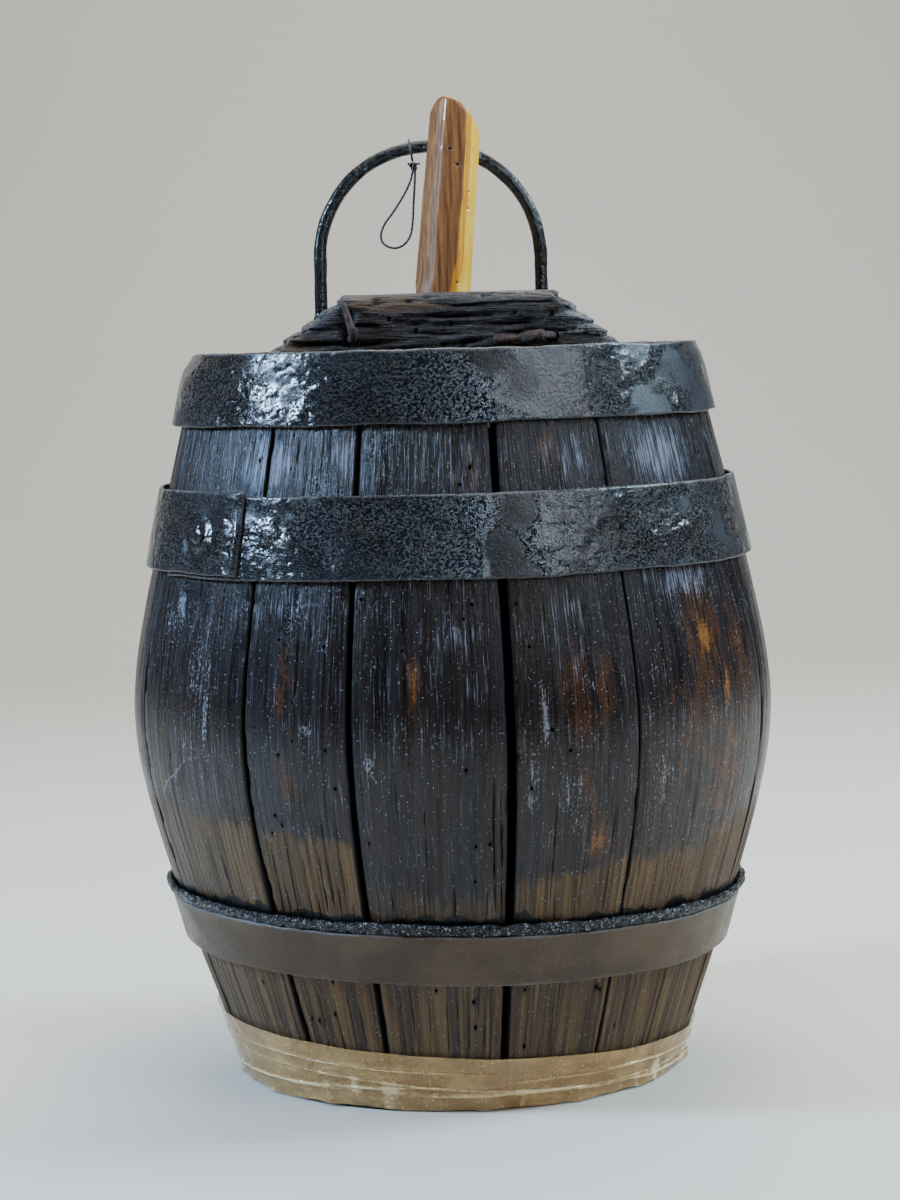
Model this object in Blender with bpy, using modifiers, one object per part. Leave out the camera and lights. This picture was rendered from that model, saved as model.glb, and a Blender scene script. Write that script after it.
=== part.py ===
import math

import bmesh
import bpy
from mathutils import Matrix, Vector

# A hand-carried oak wine barrel: thirteen staves in three iron hoops, two three-board heads
# set in grooves, and a carrying block with a fixed forged handle across the top head. A long
# wooden stopper leans out of the bung hole, which runs through block and head.
# Metres, +Z up, standing on its base, with the cask's axis on Z and its front towards -Y.
# Angles are in degrees round the axis, from 0 at the front and positive towards +X.

GAP = 0.0003  # clearance left between pieces that touch
BAND_GAP = 0.0005  # clearance under a band, which its flat facets take a part of

# Cask outline: the outside of the staves
STAVE_LENGTH = 0.336
BILGE_RADIUS = 0.1503
BILGE_HEIGHT = 0.171
RIM_RADIUS = 0.1158
BASE_RADIUS = 0.1035
UPPER_ROUNDING = 0.030  # how softly the outline turns from the bilge into the upper taper
LOWER_ROUNDING = 0.050

# Staves
STAVE_THICKNESS = 0.016
CHIME_THICKNESS = 0.009  # what is left of a stave at its two ends
CHIME_BEVEL = 0.012  # height of the bevel inside each end
CROZE_WIDTH = 0.005  # groove that holds a head
CROZE_DEPTH = 0.004
FACET_ANGLE = 6.5  # widest facet of a stave
# Each seam's angle, and its width at the bilge
SEAMS = (
    (-70.0, 0.0008),
    (-37.5, 0.0018),
    (-17.4, 0.0024),
    (9.35, 0.0037),
    (32.3, 0.0005),
    (70.0, 0.0010),
    (97.5, 0.0009),
    (125.0, 0.0006),
    (152.5, 0.0012),
    (180.0, 0.0007),
    (207.5, 0.0010),
    (235.0, 0.0006),
    (262.5, 0.0009),
)

# Heads
HEAD_THICKNESS = 0.014
HEAD_TAPER = 0.009  # how far in from the groove a head starts to thin
TOP_HEAD_DEPTH = 0.030  # from the rim down to the top head
BOTTOM_HEAD_DEPTH = 0.022  # from the base up to the bottom head
TOP_BOARD_WIDTH = 0.076  # middle board
BOTTOM_BOARD_WIDTH = 0.068
DOWEL_RADIUS = 0.004
DOWEL_LENGTH = 0.030
DOWEL_SPREAD = 0.044  # each dowel's distance from the middle of its joint

# Hoops
HOOP_THICKNESS = 0.0018
HOOP_FLARE = 0.0009  # how much further the edge away from the bilge stands off
LAP_ANGLE = 22.5
RAMP_ANGLE = 25.0  # stretch in which a hoop climbs over its own first end
TURN_STEPS = 60
TOP_HOOP_WIDTH = 0.032
TOP_HOOP_LAP = 150.0  # where the outer layer's end lies
UPPER_HOOP_HEIGHT = 0.239
UPPER_HOOP_WIDTH = 0.036
UPPER_HOOP_LAP = -40.5
UPPER_HOOP_DRIFT = 0.002  # how much higher the outer layer lies than the layer below it
LOWER_HOOP_HEIGHT = 0.0615
LOWER_HOOP_WIDTH = 0.0225
LOWER_HOOP_LAP = 195.0
LOWER_HOOP_TILT = 1.66
RIVET_RADIUS = 0.002
RIVET_HEAD_RADIUS = 0.005
RIVET_HEAD_HEIGHT = 0.0016
BEAD_HEIGHT = 0.0054
BEAD_DEPTH = 0.0036

# Tape round the base
TAPE_THICKNESS = 0.0005
TAPE_BOTTOM = 0.0015
TAPE_TOP = 0.026
TAPE_SLANT = 0.007  # how much higher its top edge is at the left, and lower at the right

# Carrying block
BLOCK_HEIGHT = 0.055
BLOCK_DEPTH = 0.064
BLOCK_TOP_LEFT = -0.045
BLOCK_TOP_RIGHT = 0.052
BLOCK_END_LEFT = 0.0112  # height of each end, at the staves
BLOCK_END_RIGHT = 0.008
SHOULDER_RUN = 0.014  # first stretch of the right slope, which is the less steep one
SHOULDER_DROP = 0.0113
BLOCK_WORN_EDGE = 0.005
BLOCK_EDGE = 0.0015

# Handle
ROD_RADIUS = 0.00305
HANDLE_SPAN = 0.104  # between the legs' centre lines
HANDLE_X = -0.0046
HANDLE_Y = 0.014
HANDLE_RISE = 0.0167  # from the block's top to the middle of the arch
HANDLE_SINK = 0.0273  # from the block's top to the ends of the legs
LEG_END_RADIUS = 0.0046
LEG_END_LENGTH = 0.015
ARCH_STEPS = 22

# Nails through the legs: height of the crossing below the block's top, where each nail comes
# out of the block's front, and where its bent tip lies
NAIL_DROP = 0.0233
NAIL_RADIUS = 0.0022
NAIL_HEAD_RADIUS = 0.005
NAIL_HEAD_THICKNESS = 0.002
LEFT_NAIL_EXIT = (-0.041, 0.0203)
LEFT_NAIL_TIP = (-0.045, 0.0035)
LEFT_CLENCH_RADII = (0.0022, 0.0012)
RIGHT_NAIL_EXIT = (0.050, 0.0213)
RIGHT_NAIL_TIP = (0.023, 0.0225)
RIGHT_CLENCH_RADII = (0.0029, 0.0021)

# Nails through the staves into the ends of the block
END_NAIL_RISE = 0.0042  # above the block's underside
END_NAIL_RADIUS = 0.0015
END_NAIL_GRIP = 0.025  # length inside the block
END_NAIL_HEAD_RADIUS = 0.004
END_NAIL_HEAD_THICKNESS = 0.0015

# Stopper: its axis crosses the block's top at STOPPER_PLACE and leans towards +X
STOPPER_PLACE = (0.0006, -0.003)
STOPPER_LEAN = 5.8
STOPPER_RISE = 0.0802  # along its axis, from the block's top to the slanted cut
STOPPER_TOP_RADIUS = 0.0114
STOPPER_RADIUS = 0.0125  # at the block's top
STOPPER_TIP_RADIUS = 0.011
STOPPER_TIP_BEVEL = 0.002
STOPPER_CUT = (0.58, 0.77, 1.0)  # direction that the slanted cut faces

# Cord loop on the handle
CORD_RADIUS = 0.0005
CORD_X = -0.0125
KNOT_DROP = 0.0086  # below the rod's centre line
KNOT_RADIUS = 0.0017
KNOT_HEIGHT = 0.0046
STRAND_SPREAD = 0.0008
CORD_SPACING = 0.0025
# The hanging loop's route from the knot: across, forward (negative) and down
CORD_ROUTE = (
    (-0.0006, -0.0009, 0.0029),
    (-0.0020, -0.0008, 0.0075),
    (-0.0056, -0.0004, 0.0142),
    (-0.0104, 0.0000, 0.0212),
    (-0.0146, 0.0003, 0.0268),
    (-0.0163, 0.0005, 0.0318),
    (-0.0150, 0.0006, 0.0357),
    (-0.0103, 0.0007, 0.0377),
    (-0.0056, 0.0008, 0.0362),
    (-0.0024, 0.0009, 0.0318),
    (-0.0011, 0.0010, 0.0250),
    (-0.0004, 0.0011, 0.0160),
    (0.0002, 0.0010, 0.0090),
    (0.0006, 0.0009, 0.0029),
)

# Colour, roughness and metallic value of each material
LOOKS = {
    "oak": ((0.045, 0.024, 0.014), 0.38, 0.0),
    "head_oak": ((0.10, 0.06, 0.035), 0.7, 0.0),
    "weathered_oak": ((0.07, 0.05, 0.035), 0.75, 0.0),
    "varnished_wood": ((0.12, 0.035, 0.012), 0.25, 0.0),
    "painted_iron": ((0.015, 0.015, 0.016), 0.3, 0.6),
    "rusty_iron": ((0.09, 0.045, 0.03), 0.7, 0.5),
    "pitch": ((0.01, 0.009, 0.009), 0.2, 0.0),
    "film": ((0.35, 0.25, 0.14), 0.2, 0.0),
    "cord_fibre": ((0.03, 0.022, 0.018), 0.8, 0.0),
}

for old in list(bpy.data.objects):
    bpy.data.objects.remove(old, do_unlink=True)

parts = bpy.data.collections.new("oak_wine_barrel")
cutters = bpy.data.collections.new("cutters")
bpy.context.scene.collection.children.link(parts)
bpy.context.scene.collection.children.link(cutters)


# Geometry shared by the pieces


def fall(distance, rounding):
    return math.hypot(distance, rounding) - rounding


def outer_radius(z):
    if z >= BILGE_HEIGHT:
        share = fall(z - BILGE_HEIGHT, UPPER_ROUNDING)
        share /= fall(STAVE_LENGTH - BILGE_HEIGHT, UPPER_ROUNDING)
        return BILGE_RADIUS - (BILGE_RADIUS - RIM_RADIUS) * share
    share = fall(BILGE_HEIGHT - z, LOWER_ROUNDING) / fall(BILGE_HEIGHT, LOWER_ROUNDING)
    return BILGE_RADIUS - (BILGE_RADIUS - BASE_RADIUS) * share


def inner_radius(z):
    return outer_radius(z) - STAVE_THICKNESS


def outward(angle):
    turn = math.radians(angle)
    return Vector((math.sin(turn), -math.cos(turn), 0.0))


def on_ring(angle, radius, z):
    return outward(angle) * radius + Vector((0.0, 0.0, z))


def between(low, high, count):
    return [low + (high - low) * i / (count - 1) for i in range(count)]


def smooth_step(x):
    x = min(max(x, 0.0), 1.0)
    return x * x * (3.0 - 2.0 * x)


# Making objects


def material(name, look):
    colour, roughness, metallic = LOOKS[look]
    made = bpy.data.materials.new(f"{name}_{look}")
    made.use_nodes = True
    shader = made.node_tree.nodes["Principled BSDF"]
    shader.inputs["Base Color"].default_value = (*colour, 1.0)
    shader.inputs["Roughness"].default_value = roughness
    shader.inputs["Metallic"].default_value = metallic
    return made


def add(name, data, look):
    # A piece has a look, and a cutter has none
    made = bpy.data.objects.new(name, data)
    if look:
        data.materials.append(material(name, look))
        parts.objects.link(made)
    else:
        made.hide_render = True
        made.display_type = "WIRE"
        cutters.objects.link(made)
    return made


def solid(name, shape, look=None, smooth_below=35.0):
    mesh = bpy.data.meshes.new(name)
    shape.to_mesh(mesh)
    shape.free()
    mesh.shade_smooth()
    mesh.set_sharp_from_angle(angle=math.radians(smooth_below))
    return add(name, mesh, look)


def cut(piece, cutter, operation="DIFFERENCE"):
    modifier = piece.modifiers.new(cutter.name, "BOOLEAN")
    modifier.operation = operation
    modifier.solver = "EXACT"
    modifier.object = cutter


def turned(name, profile, steps, look=None):
    # The profile runs down its outer side, as (radius, height)
    shape = bmesh.new()
    corners = [shape.verts.new((radius, 0.0, z)) for radius, z in profile]
    for a, b in zip(corners, corners[1:]):
        shape.edges.new((a, b))
    made = solid(name, shape, look)
    screw = made.modifiers.new("turn", "SCREW")
    screw.steps = steps
    screw.render_steps = steps
    screw.use_merge_vertices = True
    screw.merge_threshold = 0.00001
    return made


def loft(sections, closed):
    shape = bmesh.new()
    rings = [[shape.verts.new(corner) for corner in section] for section in sections]
    pairs = list(zip(rings, rings[1:]))
    if closed:
        pairs.append((rings[-1], rings[0]))
    else:
        shape.faces.new(rings[0])
        shape.faces.new(rings[-1])
    for a, b in pairs:
        for i in range(len(a)):
            j = (i + 1) % len(a)
            shape.faces.new((a[i], a[j], b[j], b[i]))
    bmesh.ops.recalc_face_normals(shape, faces=shape.faces)
    return shape


def bar(name, start, end, radius, look=None, sides=16):
    start, end = Vector(start), Vector(end)
    shape = bmesh.new()
    bmesh.ops.create_cone(
        shape,
        cap_ends=True,
        segments=sides,
        radius1=radius,
        radius2=radius,
        depth=(end - start).length,
    )
    made = solid(name, shape, look)
    made.location = (start + end) / 2
    made.rotation_mode = "QUATERNION"
    made.rotation_quaternion = (end - start).to_track_quat("Z", "Y")
    return made


def rod(name, points, radii, look, detail=2):
    curve = bpy.data.curves.new(name, "CURVE")
    curve.dimensions = "3D"
    curve.bevel_depth = 1.0
    curve.bevel_resolution = detail
    curve.use_fill_caps = True
    spline = curve.splines.new("POLY")
    spline.points.add(len(points) - 1)
    for place, point, radius in zip(spline.points, points, radii):
        place.co = (*point, 1.0)
        place.radius = radius
    return add(name, curve, look)


def as_mesh(curve_object, look):
    name = curve_object.name
    graph = bpy.context.evaluated_depsgraph_get()
    mesh = bpy.data.meshes.new_from_object(curve_object.evaluated_get(graph))
    place = curve_object.matrix_world.copy()
    bpy.data.objects.remove(curve_object)
    shape = bmesh.new()
    shape.from_mesh(mesh)
    bmesh.ops.remove_doubles(shape, verts=shape.verts, dist=0.000001)
    bmesh.ops.recalc_face_normals(shape, faces=shape.faces)
    made = solid(name, shape, look)
    made.matrix_world = place
    return made


def smooth_route(route, spacing):
    # Points at even distances along the Catmull-Rom curve through the route
    route = [Vector(point) for point in route]
    ends = [2 * route[0] - route[1], *route, 2 * route[-1] - route[-2]]
    fine = [route[0]]
    for a, b, c, d in zip(ends, ends[1:], ends[2:], ends[3:]):
        for t in between(0.0, 1.0, 13)[1:]:
            bend = (2 * a - 5 * b + 4 * c - d) * t * t + (3 * b - a - 3 * c + d) * t**3
            fine.append((2 * b + (c - a) * t + bend) / 2)
    walked = [0.0]
    for a, b in zip(fine, fine[1:]):
        walked.append(walked[-1] + (b - a).length)
    even = []
    index = 0
    for distance in between(0.0, walked[-1], round(walked[-1] / spacing) + 1):
        while index < len(fine) - 2 and walked[index + 1] < distance:
            index += 1
        share = (distance - walked[index]) / (walked[index + 1] - walked[index])
        even.append(fine[index].lerp(fine[index + 1], share))
    return even


# Staves

top_head_top = STAVE_LENGTH - TOP_HEAD_DEPTH
top_head_middle = top_head_top - HEAD_THICKNESS / 2
bottom_head_middle = BOTTOM_HEAD_DEPTH + HEAD_THICKNESS / 2


def croze(middle):
    # The groove's four corners, going down the inner wall
    above = middle + CROZE_WIDTH / 2
    below = middle - CROZE_WIDTH / 2
    floor = inner_radius(middle) + CROZE_DEPTH
    return [
        (inner_radius(above), above),
        (floor, above),
        (floor, below),
        (inner_radius(below), below),
    ]


def stave_profile():
    outside = [(outer_radius(z), z) for z in between(0.0, BILGE_HEIGHT, 6)]
    outside += [(outer_radius(z), z) for z in between(BILGE_HEIGHT, STAVE_LENGTH, 6)[1:]]
    bevel_top = STAVE_LENGTH - CHIME_BEVEL
    wall_top = top_head_middle - CROZE_WIDTH
    wall_bottom = bottom_head_middle + CROZE_WIDTH
    inside = [(RIM_RADIUS - CHIME_THICKNESS, STAVE_LENGTH)]
    inside += [(inner_radius(bevel_top), bevel_top)]
    inside += croze(top_head_middle)
    inside += [(inner_radius(z), z) for z in between(wall_top, wall_bottom, 6)]
    inside += croze(bottom_head_middle)
    inside += [(inner_radius(CHIME_BEVEL), CHIME_BEVEL), (BASE_RADIUS - CHIME_THICKNESS, 0.0)]
    return outside + inside


def stave_shape(start, end):
    shape = bmesh.new()
    profile = shape.faces.new([shape.verts.new(on_ring(start, r, z)) for r, z in stave_profile()])
    bmesh.ops.spin(
        shape,
        geom=[profile, *profile.edges, *profile.verts],
        axis=(0.0, 0.0, 1.0),
        cent=(0.0, 0.0, 0.0),
        angle=math.radians(end - start),
        steps=math.ceil((end - start) / FACET_ANGLE),
    )
    open_edges = [edge for edge in shape.edges if edge.is_boundary]
    bmesh.ops.holes_fill(shape, edges=open_edges)
    bmesh.ops.recalc_face_normals(shape, faces=shape.faces)
    return shape


staves = []
for number, (seam, width) in enumerate(SEAMS, start=1):
    next_seam, next_width = SEAMS[number] if number < len(SEAMS) else SEAMS[0]
    start = seam + math.degrees(width / 2 / BILGE_RADIUS)
    end = next_seam - math.degrees(next_width / 2 / BILGE_RADIUS)
    end += 360.0 if end < start else 0.0
    made = solid(f"stave_{number:02d}", stave_shape(start, end), "oak")
    staves.append((start, end, made))


def stave_at(angle):
    for start, end, made in staves:
        if start <= angle <= end or start <= angle + 360.0 <= end:
            return made


# Heads: a turned disc cut into three boards, with dowels across the two joints


def head_profile(middle):
    # The rim enters the groove, and the wall beside it is tightest at the groove's nearer edge
    edges = (middle - CROZE_WIDTH / 2, middle + CROZE_WIDTH / 2)
    neck = min(inner_radius(z) for z in edges) - BAND_GAP
    rim = inner_radius(middle) + CROZE_DEPTH - BAND_GAP
    half_rim = CROZE_WIDTH / 2 - GAP
    half = HEAD_THICKNESS / 2
    upper = [(0.0, half), (neck - HEAD_TAPER, half), (neck, half_rim), (rim, half_rim)]
    lower = [(radius, -z) for radius, z in reversed(upper)]
    return [(radius, middle + z) for radius, z in upper + lower]


def head(name, middle, board_width):
    reach = 2 * BILGE_RADIUS
    spans = {
        "left": (-reach, -board_width / 2 - GAP / 2),
        "middle": (-board_width / 2 + GAP / 2, board_width / 2 - GAP / 2),
        "right": (board_width / 2 + GAP / 2, reach),
    }
    boards = {}
    for side, (low, high) in spans.items():
        board = turned(f"{name}_{side}", head_profile(middle), TURN_STEPS, "head_oak")
        shape = bmesh.new()
        size = Vector((high - low, 2 * reach, 2 * HEAD_THICKNESS))
        bmesh.ops.create_cube(shape, size=1.0, matrix=Matrix.Diagonal(size).to_4x4())
        span = solid(f"{name}_{side}_span", shape)
        span.location = ((low + high) / 2, 0.0, middle)
        cut(board, span, "INTERSECT")
        boards[side] = board
    for side, x in (("left", -board_width / 2), ("right", board_width / 2)):
        for place, y in (("front", -DOWEL_SPREAD), ("back", DOWEL_SPREAD)):
            half = Vector((DOWEL_LENGTH / 2, 0.0, 0.0))
            centre = Vector((x, y, middle))
            bar(
                f"{name}_dowel_{side}_{place}",
                centre - half,
                centre + half,
                DOWEL_RADIUS,
                "head_oak",
                12,
            )
            half.x += GAP
            hole = bar(
                f"{name}_dowel_hole_{side}_{place}",
                centre - half,
                centre + half,
                DOWEL_RADIUS + GAP,
                sides=12,
            )
            cut(boards[side], hole)
            cut(boards["middle"], hole)
    return boards


top_head = head("top_head", top_head_middle, TOP_BOARD_WIDTH)
bottom_head = head("bottom_head", bottom_head_middle, BOTTOM_BOARD_WIDTH)


# Hoops: flat strips lapped over their own first ends and riveted


def hoop_rise(hoop, angle):
    # How far the strip lies above its named height at an angle, counted on from the lap
    slant = -math.tan(math.radians(hoop["tilt"])) * hoop["middle_radius"] * outward(angle).x
    turns = (angle - hoop["lap"]) / 360.0
    return slant + hoop["drift"] * (turns + 0.5)


def hoop_stand_off(hoop, share):
    # Clearance between stave and hoop, at a share of the strip's width counted upwards
    away = share if hoop["low"] > BILGE_HEIGHT else 1.0 - share
    return BAND_GAP + HOOP_FLARE * away


def hoop_section(hoop, angle):
    # The strip's last end lies at the lap angle, one lap further round than its first end
    lift = HOOP_THICKNESS + BAND_GAP
    lift *= smooth_step((angle - hoop["lap"] + LAP_ANGLE + RAMP_ANGLE) / RAMP_ANGLE)
    corners = []
    for share, depth in ((0.0, 0.0), (1.0, 0.0), (1.0, 1.0), (0.0, 1.0)):
        z = hoop["low"] + hoop["width"] * share + hoop_rise(hoop, angle)
        # Above the rim and below the base the outline runs on level
        radius = outer_radius(min(max(z, 0.0), STAVE_LENGTH)) + hoop_stand_off(hoop, share)
        corners.append(on_ring(angle, radius + lift + HOOP_THICKNESS * depth, z))
    return corners


def add_hoop(name, low, width, lap, tilt=0.0, drift=0.0):
    middle_radius = outer_radius(low + width / 2)
    hoop = {"low": low, "width": width, "lap": lap, "tilt": tilt, "drift": drift}
    hoop["middle_radius"] = middle_radius
    step = 360.0 / TURN_STEPS
    first = lap - LAP_ANGLE - 360.0
    angles = [first + step * i for i in range(math.ceil((lap - first) / step))] + [lap]
    sections = [hoop_section(hoop, angle) for angle in angles]
    strip = solid(name, loft(sections, closed=False), "painted_iron")

    # The rivet stands square to the staves in the middle of the lap
    angle = lap - LAP_ANGLE / 2
    z = low + width / 2
    slope = (outer_radius(z + GAP) - outer_radius(z - GAP)) / (2 * GAP)
    axis = (outward(angle) - Vector((0.0, 0.0, slope))).normalized()
    under = hoop_stand_off(hoop, 0.5)
    over = under + 2 * HOOP_THICKNESS + BAND_GAP + GAP
    top = over + RIVET_HEAD_HEIGHT
    profile = [
        (0.0, top),
        (RIVET_HEAD_RADIUS * 0.55, top - RIVET_HEAD_HEIGHT * 0.15),
        (RIVET_HEAD_RADIUS * 0.88, top - RIVET_HEAD_HEIGHT * 0.55),
        (RIVET_HEAD_RADIUS, over),
        (RIVET_RADIUS, over),
        (RIVET_RADIUS, under),
        (0.0, under),
    ]
    rivet = turned(f"{name}_rivet", profile, 12, "rusty_iron")
    rivet.location = on_ring(angle, outer_radius(z), z)
    rivet.rotation_mode = "QUATERNION"
    rivet.rotation_quaternion = axis.to_track_quat("Z", "Y")
    foot = rivet.location - axis * BAND_GAP
    peak = rivet.location + axis * (top + BAND_GAP)
    hole = bar(f"{name}_rivet_hole", foot, peak, RIVET_RADIUS + GAP, sides=12)
    cut(strip, hole)
    return hoop


add_hoop("top_hoop", STAVE_LENGTH - TOP_HOOP_WIDTH, TOP_HOOP_WIDTH, TOP_HOOP_LAP)
add_hoop(
    "upper_hoop",
    UPPER_HOOP_HEIGHT,
    UPPER_HOOP_WIDTH,
    UPPER_HOOP_LAP,
    drift=UPPER_HOOP_DRIFT,
)
lower_hoop = add_hoop(
    "lower_hoop",
    LOWER_HOOP_HEIGHT,
    LOWER_HOOP_WIDTH,
    LOWER_HOOP_LAP,
    tilt=LOWER_HOOP_TILT,
)


# Pitch bead along the lower hoop's upper edge, and tape round the base


def bead_section(angle):
    foot = lower_hoop["low"] + lower_hoop["width"] + hoop_rise(lower_hoop, angle) + GAP
    corners = []
    for turn in between(0.0, 2 * math.pi, 9)[:-1]:
        z = foot + BEAD_HEIGHT / 2 * (1.0 + math.sin(turn))
        depth = BEAD_DEPTH / 2 * (1.0 + math.cos(turn))
        corners.append(on_ring(angle, outer_radius(z) + BAND_GAP + depth, z))
    return corners


def tape_section(angle):
    top = TAPE_TOP - TAPE_SLANT * outward(angle).x
    corners = []
    for z, depth in ((TAPE_BOTTOM, 0.0), (top, 0.0), (top, 1.0), (TAPE_BOTTOM, 1.0)):
        radius = outer_radius(z) + BAND_GAP + TAPE_THICKNESS * depth
        corners.append(on_ring(angle, radius, z))
    return corners


ring_angles = between(0.0, 360.0, TURN_STEPS + 1)[:-1]
bead_sections = [bead_section(angle) for angle in ring_angles]
solid("pitch_bead", loft(bead_sections, closed=True), "pitch")
tape_sections = [tape_section(angle) for angle in ring_angles]
solid("tape_wrap", loft(tape_sections, closed=True), "film")


# Carrying block, resting on the top head and cut to the inside of the staves

block_bottom = top_head_top + GAP
block_top = block_bottom + BLOCK_HEIGHT
block_front = -BLOCK_DEPTH / 2
wall = inner_radius(block_bottom)
outline = (
    (-wall, block_bottom),
    (wall, block_bottom),
    (wall, block_bottom + BLOCK_END_RIGHT),
    (BLOCK_TOP_RIGHT + SHOULDER_RUN, block_top - SHOULDER_DROP),
    (BLOCK_TOP_RIGHT, block_top),
    (BLOCK_TOP_LEFT, block_top),
    (-wall, block_bottom + BLOCK_END_LEFT),
)
shape = bmesh.new()
front = shape.faces.new([shape.verts.new((x, block_front, z)) for x, z in outline])
grown = bmesh.ops.extrude_face_region(shape, geom=[front], use_keep_orig=True)
grown_corners = [item for item in grown["geom"] if isinstance(item, bmesh.types.BMVert)]
bmesh.ops.translate(shape, verts=grown_corners, vec=(0.0, BLOCK_DEPTH, 0.0))
bmesh.ops.recalc_face_normals(shape, faces=shape.faces)


def along_the_top(edge, y):
    # Edges of one long face, above the block's underside and ends
    ends = edge.verts
    level = all(abs(corner.co.y - y) < GAP for corner in ends)
    above = all(corner.co.z > block_bottom + GAP for corner in ends)
    return level and above and abs(ends[0].co.x - ends[1].co.x) > GAP


worn = [edge for edge in shape.edges if along_the_top(edge, block_front)]
bmesh.ops.bevel(shape, geom=worn, offset=BLOCK_WORN_EDGE, segments=3, profile=0.5, affect="EDGES")
sharp = [edge for edge in shape.edges if along_the_top(edge, -block_front)]
bmesh.ops.bevel(shape, geom=sharp, offset=BLOCK_EDGE, segments=2, profile=0.5, affect="EDGES")
block = solid("carrying_block", shape, "weathered_oak")

cask_inside = turned(
    "cask_inside",
    [
        (0.0, block_top + GAP),
        (inner_radius(STAVE_LENGTH) - BAND_GAP, block_top + GAP),
        (inner_radius(STAVE_LENGTH) - BAND_GAP, STAVE_LENGTH),
        (inner_radius(top_head_middle) - BAND_GAP, top_head_middle),
        (0.0, top_head_middle),
    ],
    TURN_STEPS,
)
cut(block, cask_inside, "INTERSECT")


# Stopper and the leaning hole that it fills

stopper_tip = (block_top - (top_head_top - HEAD_THICKNESS)) / math.cos(math.radians(STOPPER_LEAN))
stopper_place = Vector((*STOPPER_PLACE, block_top))
stopper_turn = Matrix.Rotation(math.radians(STOPPER_LEAN), 4, "Y")
stopper_axis = stopper_turn.to_3x3() @ Vector((0.0, 0.0, 1.0))
# The blank is longer than the stopper, by more than the slanted cut can reach
blank_top = STOPPER_RISE + 3 * STOPPER_TOP_RADIUS


def blank_radius(height):
    # Narrows both ways from the block's top
    if height > 0.0:
        return STOPPER_RADIUS + (STOPPER_TOP_RADIUS - STOPPER_RADIUS) * height / STOPPER_RISE
    return STOPPER_RADIUS + (STOPPER_TIP_RADIUS - STOPPER_RADIUS) * -height / stopper_tip


stopper = turned(
    "stopper",
    [
        (0.0, blank_top),
        (blank_radius(blank_top), blank_top),
        (STOPPER_RADIUS, 0.0),
        (blank_radius(STOPPER_TIP_BEVEL - stopper_tip), STOPPER_TIP_BEVEL - stopper_tip),
        (STOPPER_TIP_RADIUS - STOPPER_TIP_BEVEL, -stopper_tip),
        (0.0, -stopper_tip),
    ],
    24,
    "varnished_wood",
)
stopper.matrix_world = Matrix.Translation(stopper_place) @ stopper_turn
waste_size = 8 * STOPPER_RADIUS
shape = bmesh.new()
bmesh.ops.create_cube(shape, size=waste_size)
waste = solid("stopper_waste", shape)
facing = Vector(STOPPER_CUT).normalized()
waste.location = stopper_place + stopper_axis * STOPPER_RISE + facing * waste_size / 2
waste.rotation_mode = "QUATERNION"
waste.rotation_quaternion = facing.to_track_quat("Z", "Y")
cut(stopper, waste)

bore_top = 4 * STOPPER_TIP_BEVEL
bore_bottom = -stopper_tip - bore_top
bore = turned(
    "bung_hole",
    [
        (0.0, bore_top),
        (STOPPER_RADIUS + GAP, bore_top),
        (STOPPER_RADIUS + GAP, 0.0),
        (STOPPER_TIP_RADIUS + GAP, -stopper_tip),
        (STOPPER_TIP_RADIUS + GAP, bore_bottom),
        (0.0, bore_bottom),
    ],
    24,
)
bore.matrix_world = stopper.matrix_world
cut(block, bore)
cut(top_head["middle"], bore)


# Handle: one forged rod whose legs go down into the block

arch_middle = block_top + HANDLE_RISE
leg_bottom = block_top - HANDLE_SINK
leg_thick = leg_bottom + LEG_END_LENGTH
arch_radius = HANDLE_SPAN / 2
legs = {"left": HANDLE_X - arch_radius, "right": HANDLE_X + arch_radius}


def arch_point(turn):
    return Vector(
        (
            HANDLE_X + arch_radius * math.cos(turn),
            HANDLE_Y,
            arch_middle + arch_radius * math.sin(turn),
        )
    )


leg_stations = (
    (leg_bottom, LEG_END_RADIUS),
    (leg_thick, LEG_END_RADIUS),
    (leg_thick + LEG_END_RADIUS, ROD_RADIUS),
)
route = [Vector((legs["left"], HANDLE_Y, z)) for z, radius in leg_stations]
route += [arch_point(turn) for turn in between(math.pi, 0.0, ARCH_STEPS + 1)]
route += [Vector((legs["right"], HANDLE_Y, z)) for z, radius in reversed(leg_stations)]
radii = [radius for z, radius in leg_stations]
radii = radii + [ROD_RADIUS] * (ARCH_STEPS + 1) + radii[::-1]
handle = as_mesh(rod("handle", route, radii, "rusty_iron"), "rusty_iron")
for side, x in legs.items():
    start = (x, HANDLE_Y, leg_bottom - GAP)
    end = (x, HANDLE_Y, block_top + HANDLE_RISE)
    mortise = bar(f"handle_mortise_{side}", start, end, LEG_END_RADIUS + GAP)
    cut(block, mortise)


# Nails that lock the legs: driven from the back, and bent over on the block's front


def rounded_corner(before, corner, after, radius, steps=6):
    # Points of a circular arc that joins the two straight runs
    back = (before - corner).normalized()
    ahead = (after - corner).normalized()
    half = back.angle(ahead) / 2
    reach = radius / math.tan(half)
    middle = corner + (back + ahead).normalized() * radius / math.sin(half)
    first = corner + back * reach - middle
    last = corner + ahead * reach - middle
    sweep = first.angle(last)
    arc = []
    for share in between(0.0, 1.0, steps):
        a = math.sin((1.0 - share) * sweep) / math.sin(sweep)
        b = math.sin(share * sweep) / math.sin(sweep)
        arc.append(middle + first * a + last * b)
    return arc


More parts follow.
